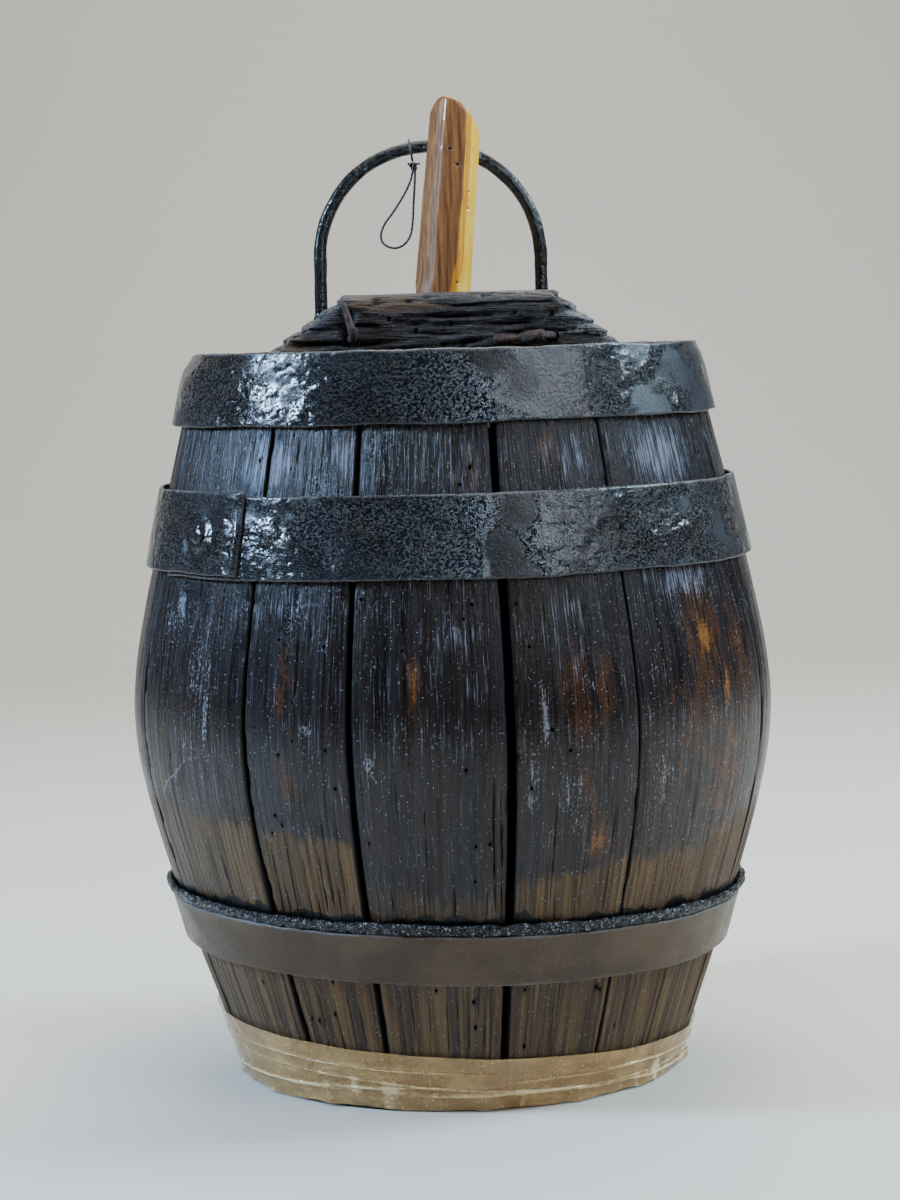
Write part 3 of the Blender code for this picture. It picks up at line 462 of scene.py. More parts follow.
staveSetting = {
    # angle of each seam, and its width at the bilge in millimetres
    "seams": (
        (-70.0, 0.8), (-37.5, 1.8), (-17.4, 2.4), (9.35, 3.7), (32.3, 0.5), (70.0, 1.0),
        (97.5, 0.9), (125.0, 0.6), (152.5, 1.2), (180.0, 0.7), (207.5, 1.0), (235.0, 0.6),
        (262.5, 0.9),
    ),
    "frontRows": 250,
    "backRows": 170,
    "frontColumn": 0.00075,
    "backColumn": 0.0011,
    "edgeRadius": 0.0010,
    "flatness": 0.16,
    # upper border of the lower part painted paler and olive as a reflection of the warm floor:
    # angles, heights and strengths
    "reflectionBorder": (
        (-180, -120, -70, -54, -38, -18, -16.5, 0, 9, 10.5, 34, 50, 70, 120, 180),
        (0.120, 0.128, 0.139, 0.136, 0.133, 0.126, 0.110, 0.100)
        + (0.104, 0.108, 0.1146, 0.1125, 0.126, 0.120, 0.120),
        (0.7, 0.6, 0.55, 0.65, 0.80, 0.90, 0.55, 0.50, 0.65, 0.95, 1.10, 1.2, 1.3, 0.8, 0.7),
    ),
    "ridge": 0.00019,
    "swell": 0.00035,
    # worm holes: angle, height and radius in millimetres
    "holes": (
        (-33.7, 0.2371, 0.8), (-36.0, 0.2273, 1.0), (-30.7, 0.2136, 0.7), (-22.0, 0.2111, 0.8),
        (-15.6, 0.2308, 0.8), (-8.3, 0.2093, 0.7), (-30.3, 0.1646, 0.7), (-21.5, 0.1673, 0.8),
        (-20.2, 0.1507, 0.7), (-32.3, 0.1375, 0.8), (-31.2, 0.1333, 0.6), (-33.6, 0.1293, 0.6),
        (-36.0, 0.1217, 0.9), (-27.5, 0.1876, 0.6), (-27.5, 0.1707, 0.6), (-15.2, 0.1267, 0.6),
        (-58.7, 0.1985, 0.6), (-55.4, 0.1907, 0.6), (-57.3, 0.1459, 0.6), (-58.6, 0.1588, 0.5),
        (-40.0, 0.2894, 0.8), (-31.8, 0.3000, 0.7), (-31.7, 0.2860, 0.7), (3.7, 0.2278, 0.9),
        (2.1, 0.2219, 0.6), (11.5, 0.2274, 0.7), (13.1, 0.2093, 0.8), (16.2, 0.1740, 0.9),
        (19.3, 0.1646, 0.8), (12.6, 0.1493, 0.8), (1.8, 0.1585, 0.8), (3.2, 0.1248, 0.7),
        (5.6, 0.1256, 0.7), (3.0, 0.1090, 0.7), (4.5, 0.2852, 1.0), (2.5, 0.2781, 0.8),
        (-40.5, 0.0646, 0.8), (-46.8, 0.0564, 0.7), (-27.0, 0.0613, 0.7), (-34.5, 0.0420, 0.7),
        (-28.2, 0.0455, 0.8), (-32.7, 0.0415, 0.8), (-5.1, 0.0587, 0.8), (13.1, 0.0572, 0.7),
        (29.1, 0.0548, 0.8), (30.2, 0.0532, 0.6), (2.5, 0.0528, 0.9), (2.8, 0.0405, 0.9),
        (13.7, 0.0300, 0.9), (36.2, 0.0338, 0.7),
    ),
    # open grain: angle, lower end, upper end, half width and depth in millimetres
    "gouges": (
        (-34.6, 0.088, 0.128, 0.45, 1.3), (-33.0, 0.086, 0.112, 0.5, 1.5),
        (-31.0, 0.090, 0.140, 0.4, 1.2), (-29.6, 0.088, 0.104, 0.6, 1.6),
        (-28.1, 0.089, 0.126, 0.4, 1.0), (-26.4, 0.087, 0.109, 0.6, 1.5),
        (-24.6, 0.091, 0.124, 0.5, 1.6), (-23.2, 0.096, 0.142, 0.4, 1.2),
        (-21.8, 0.089, 0.116, 0.5, 1.3), (-20.6, 0.100, 0.150, 0.4, 1.0),
        (-31.5, 0.036, 0.060, 0.6, 1.4), (-27.8, 0.026, 0.055, 0.4, 1.0),
        (-24.2, 0.026, 0.062, 0.35, 0.9), (-21.6, 0.028, 0.058, 0.4, 0.9),
        (-10.6, 0.030, 0.056, 0.5, 1.1), (-12.9, 0.027, 0.062, 0.35, 0.8),
        (-7.0, 0.028, 0.064, 0.35, 0.7), (-3.0, 0.026, 0.060, 0.35, 0.8),
        (-0.8, 0.027, 0.062, 0.5, 1.0), (1.4, 0.026, 0.060, 0.4, 0.9),
        (4.4, 0.028, 0.063, 0.4, 0.8), (6.4, 0.092, 0.160, 0.55, 1.3),
        (7.7, 0.088, 0.140, 0.5, 1.2), (-0.6, 0.089, 0.118, 0.4, 0.8),
        (-5.2, 0.088, 0.150, 0.35, 0.8), (-12.0, 0.092, 0.112, 0.35, 0.8),
        (-9.3, 0.200, 0.236, 0.35, 0.8), (-24.8, 0.205, 0.236, 0.4, 0.9),
        (-26.9, 0.186, 0.222, 0.35, 0.7), (-20.4, 0.215, 0.232, 0.4, 0.8),
        (-30.2, 0.284, 0.302, 0.4, 0.9), (-27.0, 0.287, 0.303, 0.35, 0.8),
        (-41.2, 0.276, 0.303, 0.3, 0.7), (2.2, 0.282, 0.300, 0.4, 0.8),
        (-8.5, 0.278, 0.303, 0.3, 0.6), (16.8, 0.094, 0.150, 0.35, 0.8),
        (22.6, 0.090, 0.122, 0.3, 0.7), (27.9, 0.088, 0.134, 0.3, 0.7),
        (36.5, 0.090, 0.128, 0.3, 0.6), (43.0, 0.092, 0.120, 0.3, 0.6),
        (-48.0, 0.090, 0.120, 0.3, 0.6), (-55.0, 0.088, 0.126, 0.3, 0.5),
        (19.5, 0.026, 0.058, 0.3, 0.6), (38.0, 0.028, 0.060, 0.3, 0.6),
        (46.0, 0.032, 0.062, 0.3, 0.5),
    ),
    # where the varnish has changed, and where glints are painted: angle, height, half width, half
    # height and strength
    "patches": {
        "worn": (
            (20.9, 0.1904, 0.010, 0.022, 1.0), (26.0, 0.1880, 0.006, 0.020, 1.0),
            (25.4, 0.1240, 0.008, 0.014, 1.2), (23.0, 0.1480, 0.009, 0.020, 0.7),
            (50.3, 0.2080, 0.016, 0.030, 1.1), (47.0, 0.1700, 0.026, 0.030, 0.8),
            (56.0, 0.1450, 0.020, 0.030, 1.1), (62.0, 0.1900, 0.014, 0.040, 0.9),
            (20.2, 0.2912, 0.008, 0.012, 1.0), (5.0, 0.2860, 0.010, 0.012, 0.6),
            (-29.4, 0.1963, 0.006, 0.022, 0.9), (-6.4, 0.1931, 0.004, 0.020, 1.3),
            (-29.2, 0.1543, 0.006, 0.014, 0.8), (-62.0, 0.1500, 0.012, 0.040, 0.5),
            (110.0, 0.1900, 0.020, 0.040, 0.8), (140.0, 0.1300, 0.018, 0.030, 0.9),
            (196.0, 0.2000, 0.020, 0.035, 0.8), (222.0, 0.1500, 0.014, 0.040, 0.9),
            (250.0, 0.1750, 0.018, 0.030, 0.7),
        ),
        "bare": (
            (50.3, 0.2080, 0.006, 0.009, 1.3), (55.0, 0.1780, 0.004, 0.012, 0.7),
            (25.4, 0.1240, 0.004, 0.007, 0.6), (-6.4, 0.1931, 0.0014, 0.012, 0.8),
            (57.0, 0.1500, 0.004, 0.012, 0.6), (196.0, 0.2040, 0.004, 0.010, 0.8),
        ),
        "scuffed": (
            (-57.2, 0.2260, 0.006, 0.008, 1.1), (-60.0, 0.2180, 0.010, 0.010, 0.5),
            (-49.0, 0.2000, 0.010, 0.022, 0.5), (-47.0, 0.1780, 0.003, 0.016, 0.8),
            (-25.1, 0.1755, 0.003, 0.003, 0.9), (-14.0, 0.1602, 0.003, 0.006, 0.8),
            (-27.0, 0.2240, 0.007, 0.010, 0.5), (15.0, 0.1830, 0.002, 0.014, 1.0),
            (20.0, 0.1450, 0.010, 0.016, 0.45), (13.0, 0.1520, 0.004, 0.018, 0.6),
            (38.0, 0.1500, 0.009, 0.022, 0.4), (-78.0, 0.1660, 0.004, 0.006, 0.9),
            (50.0, 0.2300, 0.020, 0.006, 0.5),
        ),
        # painted glints on the grain, where the side light catches it
        "glintPatch": (
            (-38.0, 0.2890, 0.028, 0.020, 1.2), (-18.0, 0.2890, 0.022, 0.020, 0.75),
            (5.0, 0.2890, 0.030, 0.020, 0.5), (26.0, 0.2870, 0.024, 0.018, 0.7),
            (48.0, 0.2870, 0.032, 0.020, 1.1), (46.0, 0.2330, 0.030, 0.010, 0.9),
            (-32.0, 0.2290, 0.032, 0.014, 0.65), (-2.0, 0.2050, 0.030, 0.036, 0.45),
            (20.0, 0.2150, 0.026, 0.030, 0.5),
        ),
        "tarred": (
            (-53.5, 0.2340, 0.012, 0.006, 1.3), (-49.5, 0.2300, 0.003, 0.012, 1.0),
            (-56.0, 0.2290, 0.002, 0.010, 0.8), (-40.0, 0.1760, 0.012, 0.030, 0.4),
        ),
    },
    # fine pale scratches: angle and height of each point along them
    "scratches": (
        ((-53.2, 0.166), (-54.6, 0.156), (-58.0, 0.150), (-61.5, 0.146), (-64.1, 0.1397)),
        ((-51.0, 0.166), (-51.4, 0.158)),
        ((22.4, 0.196), (24.0, 0.190)),
        ((-25.4, 0.1775), (-24.8, 0.1735)),
        ((-15.0, 0.162), (-13.6, 0.158), (-13.0, 0.153)),
    ),
}


def staveOutline(rows):
    # The long section of a stave, up the outside, over the rim, down the inside and back over
    # the base: radius, height, way into the wood, and share of an edge's rounding
    length, wall, chime = cask["length"], cask["wall"], 0.009
    z = np.linspace(0.0008, length - 0.0010, rows)
    outline = [(outerRadius(z), z, -1.0, 0.0, 1.0)]
    rimOut, baseOut = cask["rimRadius"], cask["baseRadius"]
    outline.append((np.array([rimOut - 0.0003]), np.array([length - 0.0003]), -1.0, 0.0, 0.6))
    rim = np.linspace(rimOut - 0.0011, rimOut - chime + 0.0005, 7)
    outline.append((rim, np.full(7, length), 0.0, -1.0, 0.25))
    inside = [(rimOut - chime, length - 0.0006), (float(outerRadius(0.324)) - wall, 0.324)]
    for middle in (0.299, 0.029):
        floor = float(outerRadius(middle)) - wall + 0.004
        for height, sunk in ((0.0025, False), (0.0025, True), (-0.0025, True), (-0.0025, False)):
            near = float(outerRadius(middle + height)) - wall
            inside.append((floor if sunk else near, middle + height))
        if middle > 0.1:
            inside += [(float(outerRadius(h)) - wall, h) for h in np.linspace(0.292, 0.036, 16)]
    inside += [(float(outerRadius(0.012)) - wall, 0.012), (baseOut - chime, 0.0006)]
    inside = np.array(inside)
    outline.append((inside[:, 0], inside[:, 1], 1.0, 0.0, 0.2))
    base = np.linspace(baseOut - chime + 0.0005, baseOut - 0.0010, 6)
    outline.append((base, np.zeros(6), 0.0, 1.0, 0.25))
    columns = [
        [np.broadcast_to(part[k], part[0].shape) for part in outline] for k in range(5)
    ]
    return [np.concatenate(column) for column in columns]


def staveField(kind, angle, z, field=0.0):
    # Soft round patches of one kind, each highest at its middle
    for at, height, halfWidth, halfHeight, strength in staveSetting["patches"][kind]:
        away = (np.mod(angle - at + 180.0, 360.0) - 180.0) * math.radians(cask["bilgeRadius"])
        hill = np.exp(-((away / halfWidth) ** 2) - ((z - height) / halfHeight) ** 2)
        field = np.maximum(field, hill * strength)
    return field


def scratchField(angle, z):
    # Nearness to each scratch, as a thin line between its points
    place = np.stack([angle * math.radians(cask["bilgeRadius"]), z], -1)
    field = np.zeros(z.shape)
    for scratch in staveSetting["scratches"]:
        line = np.array(scratch) * (math.radians(cask["bilgeRadius"]), 1.0)
        for a, b in zip(line, line[1:]):
            share = np.clip(((place - a) @ (b - a)) / ((b - a) @ (b - a)), 0.0, 1.0)
            away = np.linalg.norm(place - a - share[..., None] * (b - a), axis=-1)
            field = np.maximum(field, peak(away, 0.0005))
    return field


def makeStave(number, start, end, finish):
    setting = staveSetting
    front = number <= 5
    rows = setting["frontRows"] if front else setting["backRows"]
    spacing = setting["frontColumn"] if front else setting["backColumn"]
    chance = np.random.default_rng(400 + number)
    radius, height, intoR, intoZ, share = (part[:, None] for part in staveOutline(rows))
    width = math.radians(end - start) * cask["bilgeRadius"]

    # Columns across the stave: two down each side, a rounded edge, then even steps, and three
    # more for each gouge
    gouges = [gouge for gouge in setting["gouges"] if start + 0.8 < gouge[0] < end - 0.8]
    if not front:
        for _ in range(6):
            low = chance.uniform(0.03, 0.24)
            spot = chance.uniform(start + 2.0, end - 2.0)
            high = low + chance.uniform(0.02, 0.06)
            gouges.append((spot, low, high, 0.45, chance.uniform(0.6, 1.3)))
    edge = setting["edgeRadius"]
    turn = np.radians([0.0, 30.0, 60.0, 90.0])
    side = np.concatenate([[0.0, 0.0], edge * (1.0 - np.cos(turn))])
    sunkSide = np.concatenate([[0.0030, 0.0018], edge * (1.0 - np.sin(turn))])
    inner = np.linspace(edge, width - edge, max(8, round(width / spacing)))[1:-1]
    for spot, low, high, half, depth in gouges:
        x = math.radians(spot - start) * cask["bilgeRadius"]
        inner = inner[np.abs(inner - x) > half * 0.00135]
        inner = np.append(inner, [x - half * 0.001, x, x + half * 0.001])
    inner = np.sort(inner)
    inner = inner[(inner > edge * 1.2) & (inner < width - edge * 1.2)]
    across = np.concatenate([side, inner, width - side[::-1]])[None, :]
    sunk = np.concatenate([sunkSide, np.zeros(len(inner)), sunkSide[::-1]])[None, :]

    # The grain wanders a little to the side, less towards the seams
    fade = smoothStep(np.minimum(across, width - across), 0.0005, 0.008)
    wander = 0.0011 * unevenness(across / 0.02, height / 0.045, number * 3.1, 21)
    x = across + wander * fade
    z = np.broadcast_to(height, x.shape).copy()
    outside = np.arange(len(height))[:, None] < rows
    pit = np.zeros(x.shape)
    # deep marks the hollows that the finish darkens with painted shade: worm holes, gouges, seam
    # edges and the faces off the outside
    deep = np.zeros(x.shape)

    # Worm holes draw the nearest points together into rings, and sink them
    holes = [hole for hole in setting["holes"] if start + 1.2 < hole[0] < end - 1.2]
    if not front:
        spots = chance.uniform((start + 2.5, 0.03, 0.55), (end - 2.5, 0.30, 0.95), (7, 3))
        holes += [tuple(spot) for spot in spots]
    b, a = np.meshgrid(np.arange(-2, 3), np.arange(-2, 3), indexing="ij")
    ring = np.maximum(np.abs(a), np.abs(b))
    spin = np.arctan2(b, a)
    for angle, holeZ, size in holes:
        holeX = math.radians(angle - start) * cask["bilgeRadius"]
        j = int(np.clip(np.abs(height[:rows, 0] - holeZ).argmin(), 5, rows - 6))
        i = int(np.clip(np.abs(across[0] - holeX).argmin(), 9, across.shape[1] - 10))
        reach = size * 0.001 * np.array([0.0, 0.74, 1.0])[ring]
        x[j + b, i + a] = holeX + reach * np.cos(spin)
        z[j + b, i + a] = holeZ + reach * np.sin(spin) * 1.05
        pit[j + b, i + a] = np.array([0.0024, 0.0018, 0.0])[ring]
        deep[j + b, i + a] = np.array([1.0, 1.0, 0.55])[ring]

    # Relief of the outer face, all of it into the wood
    angle = start + (end - start) * x / width
    grain = across + number * 0.37
    half = math.radians(end - start) / 2
    flat = setting["flatness"] * cask["bilgeRadius"] * (1.0 - math.cos(half))
    relief = flat * (1.0 - (2.0 * across / width - 1.0) ** 2)
    leans = chance.uniform(0.0, 0.0005, 4)
    rise, aside = z / cask["length"], across / width
    relief = relief + leans[0] * rise * aside + leans[1] * (1.0 - rise) * (1.0 - aside)
    relief = relief + setting["swell"] * (1.0 + layered(grain / 0.018, z / 0.07, 0.5, 31, 3)) / 2
    ridges = layered(grain / 0.0019, z / 0.05, 0.2, 41, 2)
    rugged = 1.0 + 0.9 * smoothStep(z, 0.262, 0.282) + 0.7 * smoothStep(-z, -0.135, -0.095)
    relief = relief + setting["ridge"] * rugged * (1.0 + ridges)
    coarse = smoothStep(layered(grain / 0.03, z / 0.05, 0.9, 51, 2), 0.0, 0.6)
    openGrain = np.maximum(0.0, unevenness(grain / 0.0030, z / 0.022, 0.4, 61) - 0.35)
    relief = relief + 0.0009 * coarse * openGrain
    # Chips and wear along the seams
    nearEdge = np.minimum(across, width - across)
    whichSide = (across > width / 2) * 7.3 + number
    bite = np.maximum(0.0, layered(whichSide, z / 0.011, 0.6, 71, 3) - 0.15)
    relief = relief + 0.0016 * bite * peak(nearEdge, 0.0022) + 0.0004 * peak(nearEdge, 0.0035)
    for spot, low, high, halfWidth, depth in gouges:
        gougeX = math.radians(spot - start) * cask["bilgeRadius"]
        ends = smoothStep(z, low, low + 0.006) * smoothStep(-z, -high, -high + 0.012)
        ends = ends * (0.65 + 0.35 * unevenness(z / 0.006, 0.0, spot, 81))
        ditch = peak(across - gougeX, halfWidth * 0.0008) * ends
        relief = relief + depth * 0.001 * ditch
        deep = np.maximum(deep, smoothStep(ditch, 0.25, 0.8))
    # Level again at the very ends
    relief = relief * smoothStep(z, -0.004, 0.010) * smoothStep(-z, -0.342, -0.330) + pit
    deep = np.maximum(deep, smoothStep(-nearEdge, -0.0016, -0.0002) * 0.9)
    edgeDepth = sunk * share
    wearZ = 0.0005 * (1.0 + layered(angle / 2.0, radius / 0.004, 0.3, 91, 2)) * (share == 0.25)
    outer = np.where(outside, outerRadius(z) - relief, radius)
    points = onRing(angle, outer + edgeDepth * intoR, z + (edgeDepth + wearZ) * intoZ)

    rowsAll, columns = x.shape
    faces = gridFaces(rowsAll, columns, ring=True)
    first = np.arange(rowsAll) * columns
    caps = [first[::-1].tolist(), (first + columns - 1).tolist()]
    # Each corner's place on the wood: across the stave, and along its outline
    outline = np.hstack([radius, height])
    steps = np.linalg.norm(np.diff(outline, axis=0, append=outline[:1]), axis=1)
    walked = np.concatenate([[0.0], np.cumsum(steps)])
    u = np.broadcast_to(grain, x.shape).ravel()
    row = faces // columns
    v = walked[row]
    v[:, 2:][row[:, 2:] == 0] = walked[-1]
    squareUv = np.stack([u[faces], v], -1).reshape(-1, 2)
    uv = np.vstack([squareUv, outline[::-1], outline])
    on = np.broadcast_to(outside, x.shape)
    values = {kind: staveField(kind, angle, z) * on for kind in setting["patches"]}
    values["scuffed"] = np.maximum(values["scuffed"], scratchField(angle, z) * 1.1 * on)
    values["deep"] = np.maximum(deep * on, np.where(on, 0.0, 0.25))
    # The lower part painted paler and olive as a reflection of the warm floor, and tar splashed up
    # from the bead along the lower hoop
    at = np.mod(angle + 180.0, 360.0) - 180.0
    borderAngles, borderHeights, borderStrengths = setting["reflectionBorder"]
    reflectionBorder = np.interp(at, borderAngles, borderHeights)
    reflectionBorder = reflectionBorder + 0.004 * layered(grain / 0.004, z / 0.02, 0.3, 99, 2)
    strength = np.interp(at, borderAngles, borderStrengths)
    strength = strength + 0.3 * smoothStep(-z, -0.066, -0.060)
    values["tan"] = smoothStep(-z, -reflectionBorder - 0.004, -reflectionBorder + 0.005) * strength * on
    bead = 0.0840 - math.tan(math.radians(1.66)) * 0.136 * np.sin(np.radians(angle))
    splash = bead + 0.0075 + 0.0045 * layered(angle / 3.0, z / 0.012, 0.7, 95, 3)
    tar = smoothStep(-z, -splash - 0.0015, -splash + 0.001) * (z > bead - 0.002) * on
    values["tarred"] = np.maximum(values["tarred"], tar)
    made = piece(f"stave{number:02d}", points, faces.tolist() + caps, values, uv, 50.0)
    return finishPiece(made, "cask", finish, [f"stave_{number:02d}"])


oakTones = {
    "dark": (0.0034, 0.0030, 0.0034),
    "grain": (0.0225, 0.0150, 0.0135),
    "slate": (0.0190, 0.0195, 0.0265),
    "russet": (0.028, 0.0120, 0.0050),
    "streakHighlight": (0.084, 0.082, 0.100),
    # tones of the warm floor's reflection, painted on the lower part
    "floorReflectionDark": (0.026, 0.0135, 0.0056),
    "floorReflectionGrain": (0.136, 0.078, 0.0300),
    "floorReflectionPatch": (0.050, 0.029, 0.0145),
    "worn": (0.060, 0.0235, 0.0090),
    "bare": (0.23, 0.092, 0.020),
    "paintedGlint": (0.215, 0.240, 0.310),
    "scuff": (0.26, 0.27, 0.31),
    "glintDot": (0.46, 0.49, 0.56),
    "dust": (0.17, 0.185, 0.23),
    "tar": (0.0035, 0.0035, 0.0042),
    "crack": (0.0018, 0.0018, 0.0018),
    "recessShade": (0.0018, 0.0016, 0.0016),
}


def varnishedOak():
    # Noises drawn out along the grain choose between the tones and break up the patches
    finish, tones = Finish("varnishedOak", {"Specular IOR Level": 0.30}), oakTones
    place, between = finish.grainPlace(), finish.between
    streak = finish.noise(place, (430.0, 11.0, 1.0), 4.0, 0.6, 0.25)
    fine = finish.noise(place, (1150.0, 42.0, 1.0), 3.0, 0.6)
    speck = finish.noise(place, (900.0, 620.0, 1.0), 2.0, 0.6)
    broad = finish.noise(place, (34.0, 10.0, 1.0), 3.0, 0.55)
    tone = finish.noise(place, (95.0, 5.0, 1.0), 2.0, 0.5)
    split = finish.noise(place, (620.0, 24.0, 1.0), 2.0, 0.5, 0.4)
    dots = finish.cells(place, (520.0, 520.0, 1.0))
    blot = finish.noise(place, (170.0, 75.0, 1.0), 4.0, 0.65)
    worn, bare, scuffed = finish.kept("worn"), finish.kept("bare"), finish.kept("scuffed")
    tarred, deep, floorReflection = finish.kept("tarred"), finish.kept("deep"), finish.kept("tan")
    glintPatch = finish.kept("glintPatch")
    ragged = (streak - 0.5) * 1.6
    rubbed = between(worn + ragged + (speck - 0.5) * 1.4 + (blot - 0.5) * 3.4, 0.35, 1.15)
    laid = between(bare + ragged + (blot - 0.5) * 3.6 + (speck - 0.5) * 1.6, 0.40, 1.2)
    # Painted glints where the glint patches are kept, broken up along the grain
    paintedGlint = glintPatch + (fine - 0.5) * 3.2 + (streak - 0.5) * 1.4 + (blot - 0.5) * 1.8
    paintedGlint = between(paintedGlint, 0.55, 1.25) * between(glintPatch, 0.0, 0.4)
    scuff = scuffed + (speck - 0.5) * 2.8 + (fine - 0.5) * 2.2 + (blot - 0.5) * 1.4
    # pale blue specks here are painted glints
    pale = between(dots, 0.15, 0.08) * between(speck, 0.44, 0.56)
    crack = between(split, 0.36, 0.28)
    # Painted reflection of the warm floor on the lower part, laid where tan is kept
    floorReflectionTone = finish.mix(between(streak, 0.34, 0.64), tones["floorReflectionDark"], tones["floorReflectionGrain"])
    floorReflectionTone = finish.mix(between(tone, 0.40, 0.62) * 0.6, floorReflectionTone, tones["floorReflectionPatch"])
    colour = finish.stained(
        finish.mix(between(streak, 0.36, 0.66), tones["dark"], tones["grain"]),
        (
            (between(tone, 0.42, 0.66) * 0.6, tones["slate"]),
            (between(broad, 0.5, 0.72) * 0.5, tones["russet"]),
            # painted highlights along the fine grain streaks
            (between(fine, 0.56, 0.72) * 0.75, tones["streakHighlight"]),
            (between(floorReflection + (streak - 0.5) * 0.5, 0.10, 1.0) * 0.9, floorReflectionTone),
            (rubbed * between(worn, 0.04, 0.30) * 0.85, tones["worn"]),
            (laid * between(bare, 0.04, 0.30) * 0.8, tones["bare"]),
            (paintedGlint * 0.75, tones["paintedGlint"]),
            (between(scuff, 0.45, 1.15) * 0.7, tones["scuff"]),
            (pale * 0.8, tones["glintDot"]),
            (between(speck, 0.66, 0.76) * between(broad, 0.35, 0.6) * 0.6, tones["dust"]),
            (between(tarred + (fine - 0.5) * 0.8, 0.35, 0.6), tones["tar"]),
            (crack * 0.9, tones["crack"]),
            # painted shade in the hollows that deep marks
            (between(deep, 0.2, 0.7), tones["recessShade"]),
        ),
    )
    height = streak * 0.5 + fine * 0.6 + speck * 0.22 - crack * 0.65 + pale * 0.1 + paintedGlint * 0.3
    gloss = 0.12 + between(broad, 0.35, 0.7) * 0.08 + speck * 0.14 + floorReflection * 0.25 + deep * 0.3
    return finish.give(colour=colour, roughness=gloss, normal=finish.bump(height, 0.0009))


oakFinish = varnishedOak()
staveSeams = staveSetting["seams"]
for number, (seam, gap) in enumerate(staveSeams, start=1):
    nextSeam, nextGap = staveSeams[number % len(staveSeams)]
    turnOf = math.degrees(0.0005 / cask["bilgeRadius"])
    nextSeam += 360.0 if nextSeam < seam else 0.0
    makeStave(number, seam + gap * turnOf, nextSeam - nextGap * turnOf, oakFinish)
print("staves made")


# Hoops

hoopSetting = {
    "thickness": 0.0018,
    "flare": 0.0009,
    "lapAngle": 22.5,
    "rampAngle": 25.0,
    "step": 0.37,
    "rivetRadius": 0.0052,
    "rivetHeight": 0.0017,
    "topHoop": {
        "low": 0.304, "width": 0.032, "lap": 150.0, "tilt": 0.0, "drift": 0.0,
        "hammer": 0.00022, "pits": 0.00015, "node": "top_hoop", "seed": 210,
        # angles round the cask, and how pitted the paint is there
        "pitted": (
            (-180, -90, -60, -22, -14, 6, 14, 25, 30, 37, 44, 75, 120, 180),
            (0.7, 0.6, 0.8, 1.1, 0.75, 0.40, 0.2, 0.2, 0.8, 0.75, 0.2, 0.25, 0.6, 0.7),
        ),
    },
    "upperHoop": {
        "low": 0.239, "width": 0.036, "lap": -40.5, "tilt": 0.0, "drift": 0.002,
        "hammer": 0.00022, "pits": 0.00017, "node": "upper_hoop", "seed": 230,
        "pitted": (
            (-180, -90, -60, -44, -10, 6, 8, 14, 17, 55, 75, 120, 180),
            (0.6, 0.5, 0.7, 1.0, 0.8, 1.0, 0.0, 0.0, 0.8, 0.6, 0.4, 0.6, 0.6),
        ),
    },
    "lowerHoop": {
        "low": 0.0615, "width": 0.0225, "lap": 195.0, "tilt": 1.66, "drift": 0.0,
        "hammer": 0.00022, "pits": 0.00004, "node": "lower_hoop", "seed": 250,
        "pitted": ((-180.0, 0.0, 180.0), (0.3, 0.2, 0.3)),
    },
}


def hoopRise(hoop, angle):
    # How far the strip lies above its named height at an angle, counted on from the lap
    middle = outerRadius(hoop["low"] + hoop["width"] / 2)
    slant = -math.tan(math.radians(hoop["tilt"])) * middle * np.sin(np.radians(angle))
    return slant + hoop["drift"] * ((angle - hoop["lap"]) / 360.0 + 0.5)


def hoopRivet(hoop):
    # Angle, height and outward direction of the rivet, in the middle of the lap
    angle = hoop["lap"] - hoopSetting["lapAngle"] / 2
    z = hoop["low"] + hoop["width"] / 2
    slope = (outerRadius(z + 0.0003) - outerRadius(z - 0.0003)) / 0.0006
    axis = onRing(angle, 1.0, 0.0) - np.array((0.0, 0.0, float(slope)))
    return angle, z, unit(axis)


